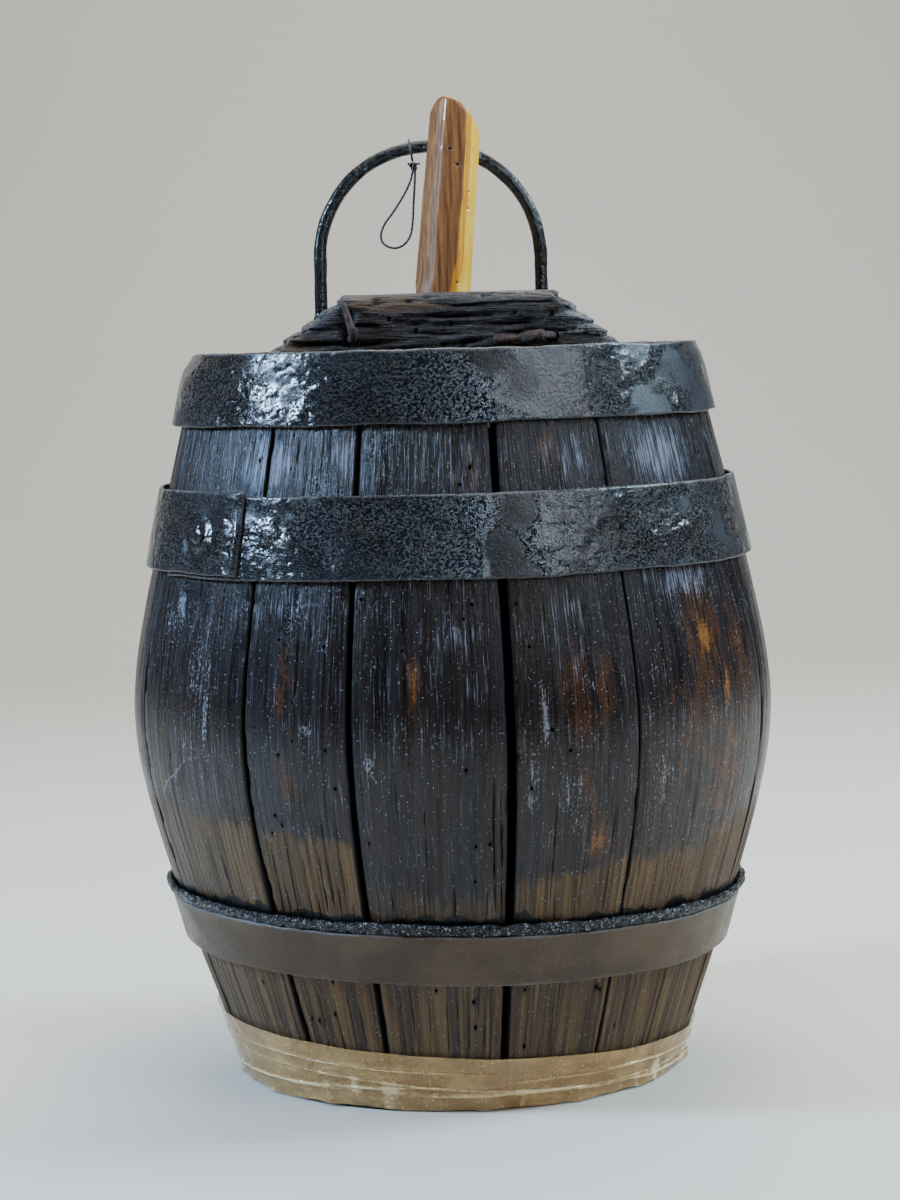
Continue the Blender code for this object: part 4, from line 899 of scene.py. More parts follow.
def makeHoop(name, finish):
    # A strip's rounded section carried round the cask, over its own first end
    setting, hoop = hoopSetting, hoopSetting[name]
    thick, width, lap = setting["thickness"], hoop["width"], hoop["lap"]
    first = lap - setting["lapAngle"] - 360.0
    angle = np.linspace(first, lap, round((lap - first) / setting["step"]))[:, None]
    radiusAtEdge = 0.00075
    turn = np.radians([0.0, 30.0, 60.0, 90.0])
    outerSteps = np.linspace(radiusAtEdge, width - radiusAtEdge, round(width / 0.00062))[1:-1]
    corner = radiusAtEdge * (1.0 - np.cos(turn))
    sunkCorner = np.concatenate([[0.0012], radiusAtEdge * (1.0 - np.sin(turn))])
    up = np.concatenate([[0.0], corner, outerSteps, width - corner[::-1], [width]])
    sunk = np.concatenate([sunkCorner, np.zeros(len(outerSteps)), sunkCorner[::-1]])
    innerSteps = np.linspace(width, 0.0, 9)
    innerSteps = np.clip(innerSteps, 0.0002, width - 0.0002)
    rise = np.concatenate([up, innerSteps])[None, :]
    depth = np.concatenate([thick - sunk, np.zeros(9)])[None, :]
    onFace = (depth > 0.0).astype(float)
    z0 = hoop["low"] + rise + hoopRise(hoop, angle)
    ground = onRing(angle, outerRadius(z0), z0)
    gx, gy, gz = ground[..., 0], ground[..., 1], ground[..., 2]
    seed = hoop["seed"]
    # Edges wander up and down a little
    share = rise / width
    sway = 0.0006 * layered(gx / 0.03, gy / 0.03, 0.5, seed, 3)
    swayTop = 0.0005 * layered(gx / 0.018, gy / 0.018, 3.5, seed + 3, 3)
    z = z0 + sway * (1.0 - share) + swayTop * share
    away = share if hoop["low"] > cask["bilgeHeight"] else 1.0 - share
    lapStart = lap - setting["lapAngle"]
    lift = smoothStep(angle, lapStart - setting["rampAngle"], lapStart)
    lift = (thick + cask["bandGap"]) * lift
    radius = outerRadius(z) + cask["bandGap"] + setting["flare"] * away + lift
    # Hammer marks, pitted paint, and a thin last end
    hammer = hoop["hammer"] * layered(gx / 0.026, gy / 0.026, gz / 0.020, seed + 6, 2)
    at = np.mod(angle + 180.0, 360.0) - 180.0
    cloud = 0.6 * layered(gx / 0.017, gy / 0.017, gz / 0.014, seed + 9, 3)
    pitted = np.clip(np.interp(at, *hoop["pitted"]) + cloud, 0.0, 1.0)
    pits = layered(gx / 0.0025, gy / 0.0025, gz / 0.0022, seed + 12, 2)
    sunkPits = -np.maximum(0.0, -pits - 0.18) + 0.2 * np.maximum(0.0, pits - 0.5)
    relief = hammer + 2.2 * hoop["pits"] * (0.05 + pitted) * sunkPits
    # A dish beaten round the rivet, in the outer of the two ends
    rivetAngle, rivetZ, _ = hoopRivet(hoop)
    rivetSpot = onRing(rivetAngle, outerRadius(rivetZ), rivetZ)
    distance = np.linalg.norm(ground - rivetSpot, axis=-1)
    dish = 0.0004 * peak(distance, 0.006) - 0.0010 * peak(distance - 0.0095, 0.0026)
    relief = relief + dish * smoothStep(angle, lap - 24.0, lap - 21.0)
    # The top hoop's upper edge is beaten inward at both sides
    beaten = peak(at + 80.0, 24.0) + 0.5 * peak(at - 80.0, 24.0)
    bent = 0.0012 * (1.0 - smoothStep(share, 0.5, 0.95))
    bent = bent - 0.0030 * smoothStep(share, 0.70, 1.0) ** 1.5
    radius = radius + beaten * bent * (name == "topHoop")
    endFall = 0.0011 * smoothStep(angle, lap - 0.9, lap)
    radius = radius + depth + onFace * (relief - np.minimum(endFall, depth * 0.6))
    points = onRing(angle, radius, z)
    rows, columns = radius.shape
    faces = gridFaces(rows, columns, tube=True).tolist()
    last = (rows - 1) * columns
    faces += [list(range(columns))[::-1], list(range(last, last + columns))]
    nearEdge = np.minimum(rise, width - rise)
    ends = np.minimum(np.abs(angle - lap), np.abs(angle - first)) * math.radians(0.14)
    values = {
        "edge": peak(nearEdge, 0.0016) + peak(ends, 0.0016) * np.ones(rise.shape),
        "ledge": peak(width - rise, 0.0014) * np.ones(angle.shape),
        "pitted": pitted,
    }
    made = piece(name, points, faces, values, None, 55.0)
    return finishPiece(made, "cask", finish, [hoop["node"]])


def paintedIron(name, look):
    # Look: tones of paint, rust and worn edges, share of painted glints, height of the pits, and
    # roughness
    fixed = {"Specular IOR Level": look["shine"], "Coat Weight": look["coat"]}
    finish = Finish(name, {**fixed, "Coat Roughness": 0.07})
    place = finish.place()
    pits = finish.noise(place, (780.0, 780.0, 860.0), 3.0, 0.6)
    fineSpeck = finish.noise(place, (1500.0, 1500.0, 1500.0), 2.0, 0.6)
    patch = finish.noise(place, (26.0, 26.0, 34.0), 3.0, 0.55)
    cloud = finish.noise(place, (70.0, 70.0, 90.0), 3.0, 0.6)
    dots = finish.cells(place, (640.0, 640.0, 640.0))
    edge, ledge, pitted = finish.kept("edge"), finish.kept("ledge"), finish.kept("pitted")
    colour = finish.mix(finish.between(patch, 0.4, 0.62), look["dark"], look["light"])
    colour = finish.mix(finish.between(cloud, 0.58, 0.74) * look["rust"], colour, look["rusty"])
    worn = finish.between(edge + (pits - 0.5) * 2.0 + (cloud - 0.5) * 1.6, 0.6, 1.2)
    colour = finish.mix(worn * look["wear"], colour, look["bare"])
    dusty = finish.between(ledge + (fineSpeck - 0.5) * 2.0 + (cloud - 0.5) * 1.2, 0.55, 1.1)
    colour = finish.mix(dusty * look["dust"], colour, (0.16, 0.16, 0.17))
    # Painted glints: pale blue specks on the pits, more where the paint is pitted
    grain = finish.between(fineSpeck, 0.68, 0.78) * finish.between(pits, 0.48, 0.62)
    glintDot = finish.between(dots, 0.13, 0.06) * finish.between(pits, 0.50, 0.62)
    glint = (grain + glintDot) * (pitted * 0.7 + 0.3)
    colour = finish.mix(glint * look["fineSpeck"], colour, (0.30, 0.36, 0.44))
    rough = pitted * pitted * look["rugged"] + (1.0 - look["rugged"])
    plateau = finish.between(pits, 0.36, 0.50) + finish.between(cloud, 0.3, 0.7) * 0.25
    height = plateau * rough * look["pits"] + fineSpeck * 0.10 * rough
    # Paint that isn't pitted has a softer gloss
    sheen = (1.0 - finish.between(pitted + (cloud - 0.5) * 0.6, 0.0, 0.6)) * look["sheen"]
    gloss = look["smooth"] + finish.between(cloud, 0.35, 0.7) * look["matt"]
    gloss = gloss + worn * 0.2 + glint * 0.1 + sheen
    return finish.give(colour=colour, roughness=gloss, normal=finish.bump(height, 0.0009))


blackPaint = {
    "dark": (0.0040, 0.0054, 0.0088),
    "light": (0.0076, 0.0108, 0.0175),
    "rusty": (0.022, 0.013, 0.010),
    "rust": 0.5,
    "bare": (0.050, 0.040, 0.036),
    "wear": 0.5,
    "dust": 0.5,
    "pits": 1.0,
    "rugged": 0.9,
    # share of painted glints on the pits
    "fineSpeck": 0.55,
    "smooth": 0.10,
    "matt": 0.06,
    "sheen": 0.22,
    "shine": 0.6,
    "coat": 0.05,
}
# Paint of the lower hoop, whose brown dark and light tones paint the warm floor's reflection
warmReflectionIron = {
    "dark": (0.044, 0.0235, 0.0105),
    "light": (0.072, 0.044, 0.0205),
    "rusty": (0.060, 0.024, 0.011),
    "rust": 0.6,
    "bare": (0.16, 0.13, 0.13),
    "wear": 0.5,
    "dust": 0.8,
    "pits": 0.35,
    "rugged": 0.5,
    # share of painted glints on the pits
    "fineSpeck": 0.45,
    "smooth": 0.30,
    "matt": 0.14,
    "sheen": 0.0,
    "shine": 0.4,
    "coat": 0.0,
}
hoopPaint = paintedIron("blackPaintedIron", blackPaint)
lowerPaint = paintedIron("warmReflectionIron", warmReflectionIron)
makeHoop("topHoop", hoopPaint)
makeHoop("upperHoop", hoopPaint)
makeHoop("lowerHoop", lowerPaint)
print("hoops made")


# Rusty iron of rivets and nails


ironTones = {
    "dark": (0.016, 0.010, 0.009),
    "rust": (0.085, 0.038, 0.026),
    "scale": (0.020, 0.018, 0.020),
    "bright": (0.42, 0.38, 0.36),
}


def rustyIron():
    # Lumpy dark iron with rust in its high spots and a few bright grains
    finish, tones = Finish("rustyIron", {"Specular IOR Level": 0.5}), ironTones
    place = finish.place()
    lumps = finish.noise(place, (420.0, 420.0, 420.0), 4.0, 0.65)
    fineSpeck = finish.noise(place, (1800.0, 1800.0, 1800.0), 2.0, 0.6)
    patch = finish.noise(place, (130.0, 130.0, 130.0), 2.0, 0.5)
    bright = finish.between(fineSpeck, 0.62, 0.74) * finish.between(lumps, 0.5, 0.66)
    colour = finish.stained(
        finish.mix(finish.between(lumps, 0.38, 0.62), tones["dark"], tones["rust"]),
        (
            (finish.between(patch, 0.5, 0.68) * 0.7, tones["scale"]),
            (bright * 0.8, tones["bright"]),
        ),
    )
    normal = finish.bump(lumps + fineSpeck * 0.3, 0.0012)
    gloss, metal = 0.52 - bright * 0.22 + patch * 0.1, 0.25 + bright * 0.6
    return finish.give(colour=colour, roughness=gloss, metallic=metal, normal=normal)


ironFinish = rustyIron()


def makeRivet(name, hoop, finish):
    # A hammered dome on a short shank, turned about the outward direction
    angle, z, axis = hoopRivet(hoop)
    under = cask["bandGap"] + hoopSetting["flare"] / 2
    over = under + 2 * hoopSetting["thickness"] + cask["bandGap"] + 0.0002
    wide, tall = hoopSetting["rivetRadius"], hoopSetting["rivetHeight"]
    swing = np.linspace(0.0, math.pi / 2, 12)
    radius = np.concatenate([wide * np.sin(swing), [wide * 0.97, 0.0020, 0.0020, 0.0]])
    height = np.concatenate([over + 0.0003 + tall * np.cos(swing), [over, over, under, under]])
    turn = np.linspace(0.0, 2.0 * math.pi, 40, endpoint=False)[None, :]
    radius, height = radius[:, None], height[:, None]
    flats = 1.0 + 0.06 * np.cos(turn * 3 + 0.7) + 0.04 * np.cos(turn * 5 + 1.9)
    wave = radius / 0.0022
    wobble = layered(wave * np.cos(turn), wave * np.sin(turn), hoop["seed"] * 1.3, 301, 2)
    height = height + 0.00022 * wobble * (height > over + 0.0001)
    radius = radius * np.where(height > over - 0.0001, flats, 1.0)
    side = unit(np.cross(axis, (0.0, 0.0, 1.0)))
    up = np.cross(side, axis)
    centre = onRing(angle, outerRadius(z), z)
    points = (
        centre
        + height[..., None] * axis
        + (radius * np.cos(turn))[..., None] * side
        + (radius * np.sin(turn))[..., None] * up
    )
    values = {"pitted": np.ones(points.shape[:2])}
    made = piece(name, points, gridFaces(len(height), 40, tube=True).tolist(), values)
    merged(made.data)
    return finishPiece(made, "cask", finish, [f"{hoop['node']}_rivet"])


makeRivet("topRivet", hoopSetting["topHoop"], ironFinish)
makeRivet("upperRivet", hoopSetting["upperHoop"], hoopPaint)
makeRivet("lowerRivet", hoopSetting["lowerHoop"], ironFinish)
print("rivets made")


# Pitch along the lower hoop's upper edge

pitchSetting = {"height": 0.0054, "depth": 0.0032, "lump": 0.0012}
pitchTones = {
    "dark": (0.0022, 0.0022, 0.0028),
    "raised": (0.0080, 0.0085, 0.0110),
    "glint": (0.52, 0.55, 0.62),
}


def makePitch():
    # A lumpy bead: a rounded section carried round the cask
    hoop = hoopSetting["lowerHoop"]
    angle = np.linspace(0.0, 360.0, 720, endpoint=False)[:, None]
    turn = np.linspace(0.0, 2.0 * math.pi, 18, endpoint=False)[None, :]
    foot = hoop["low"] + hoop["width"] + hoopRise(hoop, angle) + 0.0002
    ground = onRing(angle, outerRadius(foot), foot)
    gx, gy = ground[..., 0], ground[..., 1]
    broad = layered(gx / 0.020, gy / 0.020, 0.5, 501, 2)
    small = layered(gx / 0.0045, gy / 0.0045, 0.5, 511, 2)
    tall = pitchSetting["height"] * (1.0 + 0.16 * broad + 0.12 * small)
    deep = pitchSetting["depth"] * (1.0 + 0.22 * broad + 0.20 * small)
    z = foot + tall / 2 * (1.0 + np.sin(turn))
    out = deep / 2 * (1.0 + np.cos(turn))
    section = onRing(angle, outerRadius(z) + out, z)
    lumps = layered(*np.moveaxis(section / 0.0020, -1, 0), 521, 3)
    radius = outerRadius(z) - 0.0003 + out + pitchSetting["lump"] * 0.6 * lumps * (out > 0.0004)
    points = onRing(angle, radius, z)
    made = piece("pitchBead", points, gridFaces(720, 18, ring=True, tube=True).tolist())
    finish = Finish("pitch", {"Specular IOR Level": 0.5})
    place = finish.place()
    lumps = finish.noise(place, (560.0, 560.0, 560.0), 4.0, 0.65)
    fineSpeck = finish.noise(place, (1700.0, 1700.0, 1700.0), 2.0, 0.6)
    colour = finish.mix(finish.between(lumps, 0.4, 0.65), pitchTones["dark"], pitchTones["raised"])
    # Painted glints: pale blue specks on the raised lumps
    glints = finish.between(fineSpeck, 0.55, 0.62) * finish.between(lumps, 0.46, 0.56)
    colour = finish.mix(glints * 0.9, colour, pitchTones["glint"])
    normal = finish.bump(finish.between(lumps, 0.40, 0.60) + fineSpeck * 0.35, 0.0011)
    finish.give(colour=colour, roughness=0.10 + lumps * 0.16, normal=normal)
    return finishPiece(made, "cask", finish, ["pitch_bead"])


makePitch()
print("pitch made")


# Clear tape round the base

tapeSetting = {
    "low": 0.0007,
    "top": 0.026,
    "slant": 0.007,
    "skin": 0.00025,
    "corners": 13,
    # folds: height, lean and turn of the lean in degrees, half width and weight
    "folds": (
        (0.0170, -0.0065, 10.0, 0.0005, 0.9),
        (0.0120, -0.0080, -10.0, 0.0006, 1.1),
        (0.0080, 0.0050, -60.0, 0.0007, 0.9),
        (0.0140, 0.0070, 130.0, 0.0005, 0.7),
        (0.0055, -0.0030, 40.0, 0.0008, 0.9),
        (0.0200, -0.0050, 100.0, 0.0004, 0.5),
    ),
    "reach": 0.0042,
    "tones": {
        "amber": (0.53, 0.300, 0.100),
        "haze": (0.68, 0.420, 0.150),
        "crease": (1.00, 0.78, 0.42),
        "tapeGlint": (0.95, 0.80, 0.40),
    },
}


def makeTape():
    # A crumpled sleeve: tight along its top edge, and standing off in flat panels at its foot
    rows, count = 46, 1060
    angle = np.linspace(0.0, 360.0, count, endpoint=False)[:, None]
    drop = np.linspace(0.0, 1.0, rows)[None, :]
    top = tapeSetting["top"] - tapeSetting["slant"] * np.sin(np.radians(angle))
    ring = onRing(angle, cask["baseRadius"], 0.0)
    rx, ry = ring[..., 0], ring[..., 1]
    uneven = np.maximum(0.0, layered(rx / 0.022, ry / 0.022, 0.5, 601, 3))
    low = tapeSetting["low"] + 0.0014 * uneven
    top = top + 0.0004 * layered(rx / 0.02, ry / 0.02, 2.5, 605, 2)
    z = top + (low - top) * drop
    # Flat panels between corners at uneven angles
    chance = np.random.default_rng(77)
    number = tapeSetting["corners"]
    corners = np.sort((np.arange(number) + chance.uniform(-0.3, 0.3, number)) * 360.0 / number)
    spots = np.concatenate([corners - 360.0, corners, corners + 360.0])
    at = np.searchsorted(spots, angle[:, 0])
    before, after = spots[at - 1][:, None], spots[at][:, None]
    half = (after - before) / 2
    panel = np.cos(np.radians(half)) / np.cos(np.radians(angle - before - half))
    reach = tapeSetting["reach"] * (0.75 + 0.25 * unevenness(rx / 0.05, ry / 0.05, 0.7, 611))
    reach = outerRadius(low) + reach
    flat = np.maximum(reach * panel, outerRadius(z) + 0.0006) - outerRadius(z)
    sag = smoothStep(drop, 0.25, 1.0)
    stand = 0.0006 * (1.0 - sag) + flat * sag
    # Long folds run aslant round the foot, and short wrinkles run down from them
    ridge = 0.0
    for foldHeight, foldLean, foldTurn, foldWidth, foldWeight in tapeSetting["folds"]:
        wander = 0.0006 * layered(rx / 0.03, ry / 0.03, foldHeight * 900.0, 621, 2)
        line = foldHeight + foldLean * np.sin(np.radians(angle - foldTurn)) + wander
        fade = 0.6 + 0.4 * unevenness(rx / 0.035, ry / 0.035, foldHeight * 700.0, 625)
        ridge = ridge + foldWeight * fade * peak(z - line, foldWidth)
    wrinkle = np.maximum(0.0, unevenness(rx / 0.0065, ry / 0.0065, drop * 0.7, 641)) ** 2
    crumple = layered(rx / 0.005, ry / 0.005, z / 0.004, 651, 3)
    below = smoothStep(drop, 0.30, 0.6)
    relief = 0.0010 * ridge + 0.0011 * wrinkle * below + 0.00030 * crumple * (0.4 + below)
    outer = outerRadius(z) + stand + relief
    skin = tapeSetting["skin"]
    outerPoints = onRing(angle, outer, z)
    innerPoints = onRing(angle, outer - skin, z)[:, ::-1]
    points = np.concatenate([outerPoints, innerPoints], 1)
    fold = np.clip(ridge + wrinkle * below * 2.0, 0.0, 1.5)
    values = {"fold": np.concatenate([fold, fold[:, ::-1]], 1)}
    faces = gridFaces(count, 2 * rows, ring=True, tube=True).tolist()
    made = piece("tapeWrap", points, faces, values, None, 60.0)
    tones = tapeSetting["tones"]
    fixed = {"Specular IOR Level": 0.65, "Coat Weight": 0.6, "Coat Roughness": 0.04}
    finish = Finish("clearTape", fixed)
    place = finish.place()
    haze = finish.noise(place, (60.0, 60.0, 110.0), 4.0, 0.6)
    fine = finish.noise(place, (420.0, 420.0, 700.0), 3.0, 0.6)
    tapeGlintNoise = finish.noise(place, (900.0, 900.0, 900.0), 2.0, 0.5)
    kept = finish.kept("fold")
    crease = finish.between(kept + (fine - 0.5) * 0.8, 0.28, 0.95)
    # Painted glints: pale specks on the tape
    glint = finish.between(tapeGlintNoise, 0.66, 0.72)
    colour = finish.mix(finish.between(haze, 0.4, 0.65), tones["amber"], tones["haze"])
    colour = finish.mix(crease * 0.7, colour, tones["crease"])
    colour = finish.mix(glint * 0.7, colour, tones["tapeGlint"])
    alpha = 0.42 + finish.between(haze, 0.38, 0.66) * 0.08 + crease * 0.42 + glint * 0.3
    normal = finish.bump(fine * 0.3 + haze * 2.4, 0.0012)
    finish.give(colour=colour, roughness=0.05 + fine * 0.12, alpha=alpha, normal=normal)
    return finishPiece(made, "cask", finish, ["tape_wrap"])


makeTape()
print("tape made")


# Carrying block

blockSetting = {
    "voxel": 0.00080,
    "top": 0.3613,
    "front": -0.032,
    # long splits: height, depth in millimetres, half width in millimetres, and where they run
    "splits": (
        (0.3555, 1.8, 0.7, -0.040, 0.060), (0.3508, 2.4, 0.8, -0.030, 0.045),
        (0.3462, 2.8, 0.9, -0.055, 0.062), (0.3424, 2.2, 0.7, -0.020, 0.070),
        (0.3385, 3.2, 1.0, -0.075, 0.030), (0.3352, 2.2, 0.8, -0.045, 0.045),
        (0.3315, 3.0, 1.0, -0.085, -0.010), (0.3287, 2.4, 0.9, -0.070, 0.060),
        (0.3330, 2.0, 0.7, 0.010, 0.080),
    ),
    # worm holes on the front: x, height and radius in millimetres
    "holes": (
        (0.0005, 0.3372, 1.1), (0.0095, 0.3374, 0.8), (0.0040, 0.3468, 0.9),
        (0.0335, 0.3508, 0.8), (-0.0240, 0.3498, 0.8), (0.0500, 0.3495, 0.9),
        (-0.0120, 0.3440, 0.7),
    ),
    # splits along the top: place across it, and depth in millimetres
    "topSplits": ((-0.024, 0.8), (-0.012, 1.0), (0.004, 0.7), (0.019, 1.1)),
    # where the wood has changed: x, height, half width, half height and strength
    "patches": {
        "brown": (
            (-0.028, 0.357, 0.022, 0.004, 1.0), (-0.070, 0.337, 0.016, 0.008, 0.8),
            (-0.010, 0.3545, 0.020, 0.0025, 0.7), (0.048, 0.354, 0.010, 0.003, 0.6),
        ),
        "pale": ((0.064, 0.348, 0.014, 0.009, 1.0), (-0.040, 0.352, 0.006, 0.005, 0.5)),
    },
    "tones": {
        "dark": (0.0075, 0.0085, 0.0110),
        "grain": (0.034, 0.033, 0.037),
        "grey": (0.095, 0.088, 0.082),
        "brown": (0.135, 0.078, 0.042),
        "pale": (0.30, 0.32, 0.36),
        "dust": (0.20, 0.22, 0.26),
        "paintedGlint": (0.200, 0.230, 0.290),
        "crack": (0.002, 0.002, 0.002),
    },
}


def makeBlock():
    setting = blockSetting
    source = merged(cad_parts["carrying_block"].data.copy(), 0.00001)
    rough = bpy.data.objects.new("roughBlock", source)
    bpy.context.scene.collection.objects.link(rough)
    remesh = rough.modifiers.new("voxels", "REMESH")
    remesh.mode = "VOXEL"
    remesh.voxel_size = setting["voxel"]
    graph = bpy.context.evaluated_depsgraph_get()
    mesh = bpy.data.meshes.new_from_object(rough.evaluated_get(graph))
    bpy.data.objects.remove(rough)
    count = len(mesh.vertices)
    spots, normals = np.zeros(count * 3, np.float32), np.zeros(count * 3, np.float32)
    mesh.vertices.foreach_get("co", spots)
    mesh.vertex_normals.foreach_get("vector", normals)
    spots, normals = spots.reshape(-1, 3).astype(float), normals.reshape(-1, 3).astype(float)
    x, y, z = spots.T
    nx, ny, nz = normals.T
    upright = smoothStep(np.abs(ny), 0.4, 0.8)
    upward = smoothStep(nz, 0.4, 0.85)
    # Grain runs along the block: ridges, open splits on the faces, and layers on the slopes
    ridges = layered(x / 0.030, y / 0.0030, z / 0.0017, 701, 3)
    inward = 0.00022 * (1.0 + ridges)
    rugged = np.maximum(0.0, layered(x / 0.010, y / 0.004, z / 0.0024, 711, 3))
    inward += 0.0008 * rugged * (0.35 + 0.65 * upright) * (1.0 - 0.6 * upward)
    # deep marks the hollows that the finish darkens with painted shade
    deep = smoothStep(rugged, 0.6, 1.0) * upright * 0.8
    for number, (height, depth, half, left, right) in enumerate(setting["splits"]):
        line = height + 0.0009 * layered(x / 0.018, np.sign(y) * 3.0, number * 5.3, 721, 3)
        reach = smoothStep(x, left, left + 0.015) * smoothStep(-x, -right, -right + 0.015)
        broken = 0.55 + 0.9 * unevenness(x / 0.012, np.sign(y) * 2.0, number * 3.7, 731)
        reach = reach * np.clip(broken, 0.0, 1.2)
        ditch = peak(z - line, half * 0.00075) * reach * upright
        inward += depth * 0.001 * ditch
        deep = np.maximum(deep, smoothStep(ditch, 0.3, 0.8))
    # Splits along the top
    for number, (line, depth) in enumerate(setting["topSplits"]):
        wander = line + 0.0025 * layered(x / 0.04, number * 3.0, 0.5, 741, 2)
        ditch = peak(y - wander, 0.0006) * upward
        ditch = ditch * np.clip(unevenness(x / 0.02, number * 4.0, 0.5, 751) * 2.0, 0.0, 1.0)
        inward += depth * 0.001 * ditch
        deep = np.maximum(deep, smoothStep(ditch, 0.3, 0.8))
    # Layers that break off in steps on the two slopes
    slope = smoothStep(np.abs(nx), 0.25, 0.5) * (np.abs(ny) < 0.6)
    slope = slope + smoothStep(-x, 0.048, 0.058) * upright * 0.8
    slope = slope + smoothStep(x, 0.052, 0.060) * upright * 0.8
    layer = np.mod(z / 0.0062 + 0.35 * layered(x / 0.02, y / 0.02, 0.5, 761, 2), 1.0)
    inward += 0.0018 * np.clip(slope, 0.0, 1.0) * layer**2
    deep = np.maximum(deep, np.clip(slope, 0.0, 1.0) * smoothStep(layer, 0.86, 0.98))
    # Worn corners
    chips = np.maximum(0.0, layered(x / 0.007, y / 0.007, z / 0.007, 771, 2) - 0.1)
    corner = 1.0 - np.maximum(np.abs(ny), np.maximum(np.abs(nz), np.abs(nx)))
    inward += 0.0030 * chips * smoothStep(corner, 0.04, 0.2)
    for holeX, holeZ, size in setting["holes"]:
        away = np.hypot(x - holeX, z - holeZ) / (size * 0.001)
        sink = (away < 1.15) * (ny < -0.5) * (y < -0.020)
        inward += 0.0022 * sink * smoothStep(-away, -1.15, -0.8)
        deep = np.maximum(deep, sink)
    # A socket pressed round the left nail
    away = np.hypot(x + 0.0425, (z - 0.3475) * 0.45)
    socket = smoothStep(-away, -0.0042, -0.0020) * (ny < -0.3) * (y < -0.025)
    inward += 0.0016 * socket
    deep = np.maximum(deep, socket * 0.6)
    spots -= normals * inward[:, None]
    mesh.vertices.foreach_set("co", spots.astype(np.float32).ravel())
    values = {"deep": deep, "grey": upward + smoothStep(z, 0.352, 0.358) * upright * 0.8}
    for kind, patches in setting["patches"].items():
        values[kind] = sum(
            strength * peak(x - patchX, halfX) * peak(z - patchZ, halfZ)
            for patchX, patchZ, halfX, halfZ, strength in patches
        )
    for key, value in values.items():
        kept = mesh.attributes.new(key, "FLOAT", "POINT").data
        kept.foreach_set("value", value.astype(np.float32))
    made = addMesh("carryingBlock", mesh, 80.0)
    finish, tones = Finish("weatheredOak", {"Specular IOR Level": 0.5}), setting["tones"]
    place = finish.place()
    grain = finish.noise(place, (26.0, 420.0, 520.0), 4.0, 0.6, 0.2)
    fine = finish.noise(place, (110.0, 1300.0, 1500.0), 3.0, 0.6)
    fineSpeck = finish.noise(place, (1000.0, 1000.0, 1000.0), 2.0, 0.6)
    split = finish.noise(place, (38.0, 300.0, 560.0), 3.0, 0.6, 0.5)
    grey, brown, pale = finish.kept("grey"), finish.kept("brown"), finish.kept("pale")
    greyed = finish.between(grey + (grain - 0.5) * 1.4 + (fine - 0.5) * 0.8, 0.35, 1.1)
    browned = finish.between(brown + (grain - 0.5) * 1.6 + (fine - 0.5) * 0.8, 0.3, 0.9)
    paled = finish.between(pale + (fineSpeck - 0.5) * 1.6 + (grain - 0.5) * 1.4, 0.5, 1.1)
    # painted glints on the ridges of the grain
    glintPatch = finish.between(fine, 0.58, 0.72) * finish.between(grain, 0.40, 0.60)
    crack = finish.between(split, 0.40, 0.32)
    colour = finish.stained(
        finish.mix(finish.between(grain, 0.36, 0.66), tones["dark"], tones["grain"]),
        (
            (greyed * 0.55, tones["grey"]),
            (browned * 0.75, tones["brown"]),
            (paled * 0.6, tones["pale"]),
            (finish.between(fineSpeck, 0.62, 0.72) * 0.5, tones["dust"]),
            (glintPatch * 0.85, tones["paintedGlint"]),
            (crack * 0.9, tones["crack"]),
            # painted shade in the splits, worm holes and socket that deep marks
            (finish.between(finish.kept("deep"), 0.25, 0.8), tones["crack"]),
        ),
    )
    normal = finish.bump(grain * 0.7 + fine * 0.5 + fineSpeck * 0.3 - crack * 0.8, 0.0014)
    finish.give(colour=colour, roughness=0.24 + fine * 0.25, normal=normal)
    return finishPiece(made, "cask", finish, ["carrying_block"])


makeBlock()
print("block made")


# Handle: one forged rod

handleSetting = {
    "radius": 0.00305,
    "span": 0.104,
    "x": -0.0046,
    "y": 0.014,
    "archMiddle": 0.3780,
    "legFoot": 0.3340,
    "footLength": 0.015,
    "footRadius": 0.0046,
    "tones": {
        "dark": (0.0025, 0.003, 0.004),
        "raised": (0.0090, 0.011, 0.014),
        "rust": (0.050, 0.030, 0.022),
        "glint": (0.24, 0.27, 0.32),
    },
}


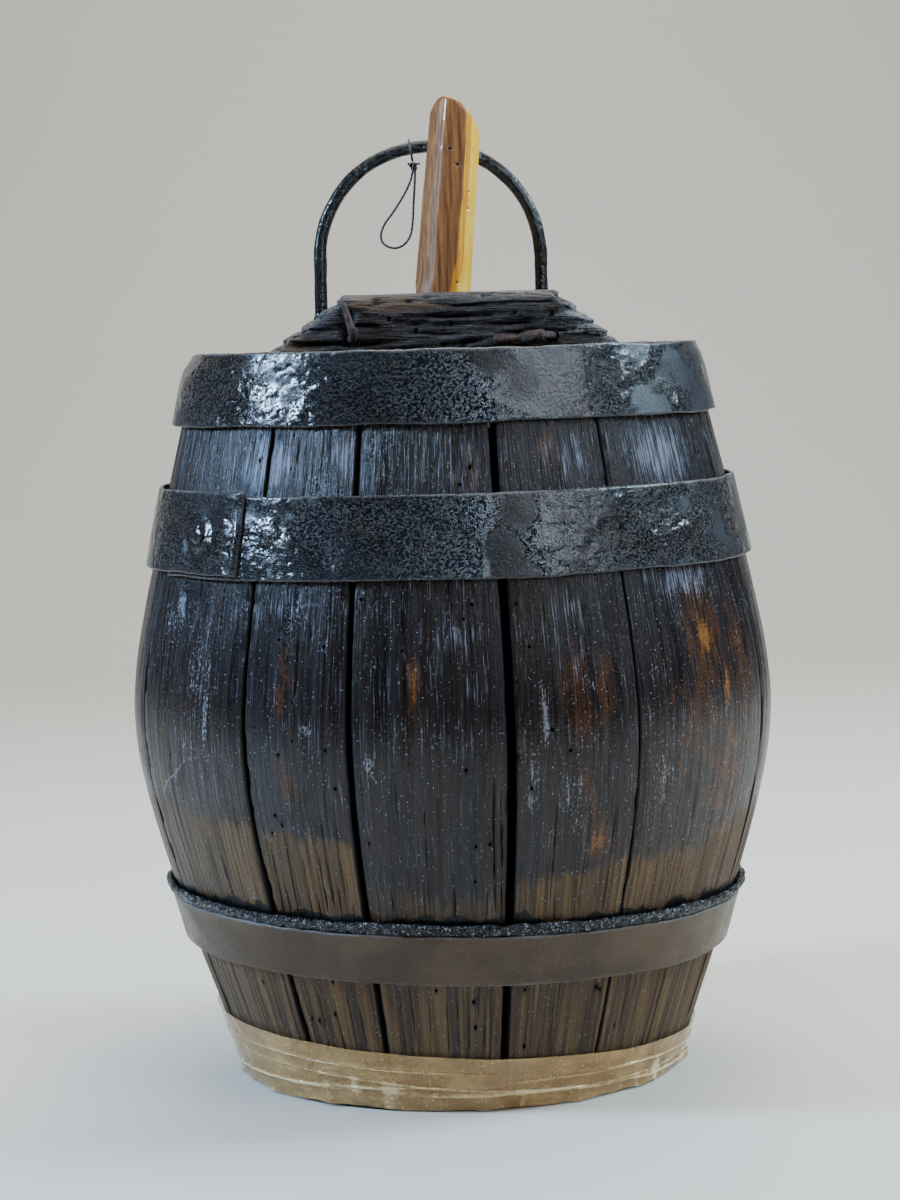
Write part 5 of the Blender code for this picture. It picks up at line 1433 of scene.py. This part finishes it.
def makeHandle():
    setting = handleSetting
    reach = setting["span"] / 2
    turn = np.linspace(math.pi, 0.0, 181)
    archX = setting["x"] + reach * np.cos(turn)
    archZ = setting["archMiddle"] + reach * np.sin(turn)
    arch = np.stack([archX, np.full(181, setting["y"]), archZ], 1)
    left = np.array([(arch[0, 0], setting["y"], setting["legFoot"])])
    right = np.array([(arch[-1, 0], setting["y"], setting["legFoot"])])
    path = evenly(np.vstack([left, arch, right]), 0.0011)
    x, y, z = path.T
    # Hand forging leaves the rod a little crooked, and thicker in some places
    free = smoothStep(z, 0.362, 0.372)
    swayX = layered(x / 0.03, 0.2, z / 0.03, 801, 2)
    swayY = layered(x / 0.03, 4.2, z / 0.03, 811, 2)
    path = path + free[:, None] * 0.0005 * np.stack([swayX, swayY, 0.0 * x], 1)
    footTop = setting["legFoot"] + setting["footLength"]
    foot = smoothStep(-z, -(footTop + 0.0046), -footTop)
    core = setting["radius"] + (setting["footRadius"] - setting["radius"]) * foot
    sides = 22
    around = np.linspace(0.0, 2.0 * math.pi, sides, endpoint=False)[None, :]
    cx, cz = path[:, 0][:, None], path[:, 2][:, None]
    lumps = layered(cx / 0.009 + np.cos(around) * 0.5, np.sin(around) * 0.5, cz / 0.009, 821, 3)
    pits = layered(cx / 0.0022 + np.cos(around) * 1.3, np.sin(around) * 1.3, cz / 0.0022, 831, 2)
    radii = core[:, None] + free[:, None] * (0.00018 * lumps + 0.00010 * pits)
    made = tube("handle", path, radii, sides, (0.0, 1.0, 0.0))
    finish = Finish("blackenedRod", {"Specular IOR Level": 0.45})
    place = finish.place()
    lumps = finish.noise(place, (520.0, 520.0, 520.0), 4.0, 0.62)
    fineSpeck = finish.noise(place, (1700.0, 1700.0, 1700.0), 2.0, 0.6)
    patch = finish.noise(place, (90.0, 90.0, 90.0), 3.0, 0.6)
    tones = setting["tones"]
    colour = finish.mix(finish.between(lumps, 0.4, 0.62), tones["dark"], tones["raised"])
    colour = finish.mix(finish.between(patch, 0.56, 0.72) * 0.6, colour, tones["rust"])
    # painted glints: pale blue specks on the rod
    colour = finish.mix(finish.between(fineSpeck, 0.70, 0.78) * 0.6, colour, tones["glint"])
    normal = finish.bump(finish.between(lumps, 0.36, 0.50) + fineSpeck * 0.15, 0.0006)
    finish.give(colour=colour, roughness=0.06 + patch * 0.16, normal=normal)
    return finishPiece(made, "cask", finish, ["handle"])


makeHandle()
print("handle made")


# Nails that hold the handle's legs: driven from the back, and bent over on the front

nailSetting = {
    "drop": 0.0233,
    "radius": 0.0022,
    "headRadius": 0.005,
    "headThickness": 0.002,
    "left": {
        "exit": (-0.041, 0.0203),
        "tip": (-0.045, 0.0035),
        "radii": (0.0022, 0.0012),
        "lump": 0.10,
    },
    "right": {
        "exit": (0.050, 0.0213),
        "tip": (0.023, 0.0225),
        "radii": (0.0029, 0.0021),
        "lump": 0.26,
    },
}


def makeHandleNail(side):
    setting, nail = nailSetting, nailSetting[side]
    reach = handleSetting["span"] / 2
    legX = handleSetting["x"] + (reach if side == "right" else -reach)
    top, front = blockSetting["top"], blockSetting["front"]
    crossing = np.array((legX, handleSetting["y"], top - setting["drop"]))
    leave = np.array((nail["exit"][0], front, top - nail["exit"][1]))
    way = unit(leave - crossing)
    bend = nail["radii"][0] + 0.001
    corner = leave + way * (bend + 0.0006)
    tip = np.array((nail["tip"][0], front - 0.0003 - nail["radii"][1], top - nail["tip"][1]))
    lean = math.sqrt(1.0 - way[1] ** 2) / -way[1]
    off = setting["headRadius"] * lean + 0.0006
    foot = crossing + way * (-front + off - handleSetting["y"]) / way[1]
    # A circular bend between the straight shank and the clenched end
    back, ahead = unit(leave - corner), unit(tip - corner)
    halfTurn = math.acos(float(back @ ahead)) / 2
    middle = corner + unit(back + ahead) * bend / math.sin(halfTurn)
    first = corner + back * bend / math.tan(halfTurn) - middle
    last = corner + ahead * bend / math.tan(halfTurn) - middle
    sweep = math.acos(float(unit(first) @ unit(last)))
    share = np.linspace(0.0, 1.0, 12)[:, None]
    arc = first * np.sin((1.0 - share) * sweep) + last * np.sin(share * sweep)
    arc = middle + arc / math.sin(sweep)
    clench = arc[-1] + (tip - arc[-1]) * np.linspace(0.0, 1.0, 30)[1:, None]
    shank = foot + (leave - foot) * np.linspace(0.0, 1.0, 14)[:, None]
    headEnd = foot - way * setting["headThickness"]
    path = np.vstack([headEnd, foot - way * 0.0003, foot, shank[1:], arc[1:], clench])
    radii = np.full(len(path), setting["radius"])
    radii[0], radii[1:3] = setting["headRadius"] * 0.9, setting["headRadius"]
    at = len(path) - len(clench) - 1
    radii[at:] = np.linspace(nail["radii"][0], nail["radii"][1], len(path) - at)
    radii[-1] *= 0.45
    radii[-2] *= 0.85
    sides = 20
    around = np.linspace(0.0, 2.0 * math.pi, sides, endpoint=False)[None, :]
    coarseX, coarseZ = path[:, :1] / 0.0055, path[:, 2:] / 0.0055
    lump = layered(coarseX + np.cos(around) * 0.4, np.sin(around) * 0.4, coarseZ, 901, 3)
    out = smoothStep(-path[:, 1], -front - 0.001, -front + 0.001)[:, None]
    if side == "right":
        # A waist where the hammered end folds
        waist = 1.0 - 0.34 * peak(path[:, 0] - 0.0345, 0.0022)
        radii = radii * np.where(path[:, 1] < front, waist, 1.0)
    radii = radii[:, None] * (1.0 + nail["lump"] * lump * out)
    reference = (0.0, 0.3, 1.0) if side == "right" else (1.0, 0.0, 0.3)
    made = tube(f"handleNail{side.capitalize()}", path, radii, sides, reference)
    return finishPiece(made, "cask", ironFinish, [f"handle_nail_{side}"])


makeHandleNail("left")
makeHandleNail("right")
print("nails made")


# Stopper: a whittled stick with a slanted cut

stopperSetting = {
    "place": (0.0006, -0.003, 0.3613),
    "lean": 5.8,
    "rise": 0.0802,
    "tip": 0.0696,
    "topRadius": 0.0114,
    "radius": 0.0125,
    "tipRadius": 0.0110,
    "cut": (0.58, 0.77, 1.0),
    "edges": (-99.0, -21.0, 26.0, 86.0, 138.0, 196.0, 261.0),  # turns of the knife edges
    # worm holes: turn round the stick, height and radius in millimetres
    "holes": ((-6.0, 0.0660, 0.6), (14.0, 0.0590, 0.8), (48.0, 0.0470, 0.5))
    + ((50.0, 0.0395, 0.6), (30.0, 0.0050, 0.4)),
    "tones": {
        "brownDark": (0.150, 0.056, 0.021),
        "brown": (0.380, 0.165, 0.057),
        # the amber and yellow tones paint warm light on the right side
        "amberDark": (0.64, 0.250, 0.014),
        "amber": (0.84, 0.390, 0.026),
        "yellow": (0.95, 0.50, 0.030),
        "yellowPale": (1.00, 0.62, 0.060),
        "hole": (0.006, 0.003, 0.002),
    },
}


def makeStopper():
    setting = stopperSetting
    lean = math.radians(setting["lean"])
    axis = np.array((math.sin(lean), 0.0, math.cos(lean)))
    side = np.array((math.cos(lean), 0.0, -math.sin(lean)))
    forward = np.array((0.0, -1.0, 0.0))
    place = np.array(setting["place"])
    columns = 96
    turn = np.linspace(-180.0, 180.0, columns, endpoint=False)[None, :]
    swing = np.radians(turn)
    facing = unit(np.array(setting["cut"]))
    # Height at which each line up the stick meets the slanted cut
    outward = np.sin(swing)[..., None] * side + np.cos(swing)[..., None] * forward
    cutTop = setting["rise"] - setting["topRadius"] * (outward @ facing) / float(axis @ facing)
    share = np.concatenate([np.linspace(0.0, 0.47, 24), np.linspace(0.475, 1.0, 120)])[:, None]
    height = -setting["tip"] + (cutTop + setting["tip"]) * share
    middle = setting["radius"]
    above = middle + (setting["topRadius"] - middle) * height / setting["rise"]
    below = middle + (setting["tipRadius"] - middle) * -height / setting["tip"]
    radius = np.where(height > 0.0, above, below)
    free = smoothStep(height, 0.0, 0.004)
    # Knife facets, whose edges drift a little with height
    drift = 0.06 * layered(height / 0.03, 0.0, 0.5, 1001, 2)
    edges = np.radians(setting["edges"])
    at = np.mod(swing + drift - edges[0], 2.0 * math.pi) + edges[0]
    face = np.clip(np.searchsorted(edges, at, side="right") - 1, 0, len(edges) - 2)
    half = (edges[face + 1] - edges[face]) / 2
    within = at - edges[face] - half
    flats = np.cos(half) / np.cos(within)
    inset = 0.5 * (1.0 - flats) * smoothStep(half - np.abs(within), 0.0, 0.13)
    radius = radius * (1.0 + free * (0.05 - inset))
    waves = layered(np.cos(swing) * 1.4, np.sin(swing) * 1.4, height / 0.016, 1011, 3)
    ridges = layered(np.cos(swing) * 9.0, np.sin(swing) * 9.0, height / 0.030, 1021, 2)
    radius = radius + free * (0.00016 * waves + 0.00006 * ridges)
    # The rim of the cut is worn round
    toCut = cutTop - height
    rounded = 1.0 - np.clip(toCut / 0.0030, 0.0, 1.0)
    radius = radius - 0.0013 * (1.0 - np.sqrt(1.0 - rounded**2))
    deep = np.zeros(radius.shape)
    for angle, holeHeight, size in setting["holes"]:
        away = np.hypot(np.radians(turn - angle) * 0.012, height - holeHeight) / (size * 0.001)
        sink = smoothStep(-away, -1.25, -0.75)
        radius = radius - 0.0018 * sink
        deep = np.maximum(deep, sink)
    tipBevel = 0.002 * (1.0 - smoothStep(height, -setting["tip"], -setting["tip"] + 0.002))
    radius = radius - tipBevel
    wall = place + axis * height[..., None] + outward * radius[..., None]
    # The cut is filled by shrinking its outline to its middle, in its own plane
    shrink = np.array([0.93, 0.84, 0.72, 0.58, 0.44, 0.30, 0.16, 0.0])[:, None]
    rim = wall[-1]
    centre = rim.mean(0)
    lid = centre + (rim - centre)[None] * shrink[..., None]
    spread = np.broadcast_to(shrink, lid.shape[:2])
    rough = layered(lid[..., 0] / 0.004, lid[..., 1] / 0.004, lid[..., 2] / 0.004, 1031, 2)
    raised = 0.00045 * (1.0 - spread**2) ** 0.5 + 0.00012 * rough * (spread < 0.9)
    lid = lid + facing * raised[..., None]
    foot = wall[0]
    footCentre = foot.mean(0)
    floor = footCentre + (foot - footCentre)[None] * np.array([0.0, 0.5])[:, None, None]
    points = np.concatenate([floor, wall, lid])
    rows = len(points)
    deepAll = np.concatenate([np.zeros((2, columns)), deep, np.zeros((8, columns))])
    turnAll = np.broadcast_to(turn, (rows, columns))
    cutRows = np.broadcast_to(cutTop, (8, columns))
    heightAll = np.concatenate([np.zeros((2, columns)), height, cutRows])
    # Amber side, from a whittled edge round to the back right: painted warm light falling on the
    # right of the stick
    edgeAt = 26.0 + 8.0 * layered(heightAll / 0.02, 0.0, 0.5, 1041, 3)
    edgeAt = edgeAt - 22.0 * smoothStep(-heightAll, -0.020, 0.010)
    edgeAt = edgeAt + 3.0 * smoothStep(heightAll, 0.035, 0.060)
    amber = smoothStep(turnAll, edgeAt - 5.0, edgeAt + 9.0) * smoothStep(-turnAll, -160.0, -140.0)
    yellow = smoothStep(turnAll, edgeAt + 14.0, edgeAt + 26.0)
    yellow = yellow * smoothStep(-turnAll, -150.0, -120.0)
    onCut = np.concatenate([np.zeros((rows - 10, columns)), np.ones((10, columns))])
    values = {"amber": amber, "yellow": np.maximum(yellow, onCut * 0.55), "deep": deepAll}
    mesh = bpy.data.meshes.new("stopper")
    faces = gridFaces(rows, columns, tube=True)
    mesh.from_pydata(points.reshape(-1, 3).tolist(), [], faces.tolist())
    for key, value in values.items():
        kept = mesh.attributes.new(key, "FLOAT", "POINT")
        kept.data.foreach_set("value", np.asarray(value, np.float32).ravel())
    merged(mesh)
    made = addMesh("stopper", mesh, 60.0)
    tones = setting["tones"]
    fixed = {"Coat Weight": 1.0, "Coat Roughness": 0.03, "Specular IOR Level": 0.25}
    finish = Finish("varnishedStick", fixed)
    place = finish.place()
    grain = finish.noise(place, (700.0, 700.0, 34.0), 4.0, 0.6, 0.3)
    fine = finish.noise(place, (1500.0, 1500.0, 120.0), 3.0, 0.6)
    cloud = finish.noise(place, (150.0, 150.0, 60.0), 3.0, 0.6)
    kept, light = finish.kept("amber"), finish.kept("yellow")
    ribs = finish.between(grain, 0.34, 0.66)
    colour = finish.mix(ribs, tones["brownDark"], tones["brown"])
    colour = finish.mix(finish.between(cloud, 0.48, 0.68) * 0.6, colour, (0.160, 0.065, 0.034))
    # Painted warm light: amber and yellow tones on the right side
    warm = finish.mix(finish.between(grain, 0.34, 0.66), tones["amberDark"], tones["amber"])
    bright = finish.mix(finish.between(cloud, 0.40, 0.66), tones["yellow"], tones["yellowPale"])
    colour = finish.mix(finish.between(kept + (grain - 0.5) * 0.7, 0.3, 0.75), colour, warm)
    colour = finish.mix(finish.between(light + (grain - 0.5) * 0.6, 0.35, 0.75), colour, bright)
    colour = finish.mix(finish.between(fine, 0.60, 0.72) * 0.5, colour, (0.10, 0.04, 0.018))
    # painted shade in the worm holes
    deep = finish.between(finish.kept("deep"), 0.4, 0.8)
    colour = finish.mix(deep, colour, tones["hole"])
    normal = finish.bump(grain * 0.5 + cloud * 0.7 + fine * 0.15, 0.0004)
    finish.give(colour=colour, roughness=0.34 + fine * 0.12, normal=normal)
    return finishPiece(made, "stopper", finish, ["stopper"])


makeStopper()
print("stopper made")


# Heads, dowels and sunk nails keep their shapes


def headOak():
    finish = Finish("headOak", {"Specular IOR Level": 0.4})
    place = finish.place()
    grain = finish.noise(place, (330.0, 14.0, 330.0), 4.0, 0.6, 0.3)
    fine = finish.noise(place, (1300.0, 70.0, 1300.0), 3.0, 0.6)
    stain = finish.noise(place, (28.0, 28.0, 28.0), 3.0, 0.6)
    ribs = finish.between(grain, 0.35, 0.66)
    colour = finish.mix(ribs, (0.022, 0.015, 0.011), (0.075, 0.048, 0.032))
    colour = finish.mix(finish.between(stain, 0.45, 0.68) * 0.7, colour, (0.018, 0.014, 0.014))
    colour = finish.mix(finish.between(fine, 0.6, 0.74) * 0.5, colour, (0.13, 0.11, 0.095))
    normal = finish.bump(grain + fine * 0.4, 0.0009)
    return finish.give(colour=colour, roughness=0.5 + fine * 0.25, normal=normal)


headFinish = headOak()
for name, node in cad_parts.items():
    if "head" in name or "end_nail" in name:
        node.data.materials.clear()
        node.data.materials.append((ironFinish if "end_nail" in name else headFinish).material)
print("heads finished")


# Floor, backdrop and lights

studio = {
    "floor": (0.70, 0.640, 0.560),
    "world": (0.080, 0.078, 0.075),
    "halfWidth": 1.25,  # of the wall behind; the floor goes further
    # place, aim, width, height, watts and colour of each light
    "lights": {
        "sideLight": (
            (-1.20, -0.27, 0.86), (-0.08, -0.10, 0.29), 0.28, 0.36, 36.0, (0.44, 0.68, 1.0),
        ),
        "frontLight": ((1.00, -1.00, 0.95), (0.0, 0.0, 0.26), 0.90, 0.80, 8.5, (0.84, 0.90, 1.0)),
        "rightLight": ((1.35, 0.15, 1.20), (0.0, 0.0, 0.26), 0.7, 0.8, 44.0, (0.56, 0.80, 1.0)),
        "topLight": ((0.1, 0.9, 1.9), (0.0, 0.6, 0.0), 1.6, 1.2, 36.0, (1.0, 0.95, 0.87)),
        "floorLight": ((0.0, -0.4, 1.6), (0.0, -0.3, 0.0), 0.7, 0.5, 7.0, (1.0, 0.85, 0.68)),
    },
}


def makeBackdrop():
    # A floor that curves up into a wall behind: a profile carried from side to side, whose
    # wall is narrower than the floor
    turn = np.linspace(0.0, math.pi / 2, 16)
    y = np.concatenate([[-6.0, -0.6, 0.4], 1.6 + 0.8 * np.sin(turn), [2.4]])
    z = np.concatenate([[0.0, 0.0, 0.0], 0.8 - 0.8 * np.cos(turn), [3.5]])
    half = studio["halfWidth"] + (6.0 - studio["halfWidth"]) * (1.0 - smoothStep(z, 0.0, 0.03))
    x = np.linspace(-1.0, 1.0, 9)[None, :] * half[:, None]
    points = np.stack(np.broadcast_arrays(x, y[:, None], z[:, None]), -1)
    mesh = bpy.data.meshes.new("backdrop")
    mesh.from_pydata(points.reshape(-1, 3).tolist(), [], gridFaces(len(y), 9).tolist())
    mesh.flip_normals()
    mesh.shade_smooth()
    made = bpy.data.objects.new("backdrop", mesh)
    bpy.context.scene.collection.objects.link(made)
    finish = Finish("paleFloor", {"Roughness": 0.75, "Base Color": (*studio["floor"], 1.0)})
    mesh.materials.append(finish.material)


makeBackdrop()
for name, (place, aim, width, height, watts, tint) in studio["lights"].items():
    data = bpy.data.lights.new(name, "AREA")
    data.shape = "RECTANGLE"
    data.size, data.size_y = width, height
    data.energy = watts
    data.color = tint
    lamp = bpy.data.objects.new(name, data)
    bpy.context.scene.collection.objects.link(lamp)
    lamp.location = place
    lamp.rotation_mode = "QUATERNION"
    lamp.rotation_quaternion = (Vector(aim) - Vector(place)).to_track_quat("-Z", "Y")
world = bpy.data.worlds.new("studio")
world.use_nodes = True
world.node_tree.nodes["Background"].inputs["Color"].default_value = (*studio["world"], 1.0)
bpy.context.scene.world = world
print("studio lit")
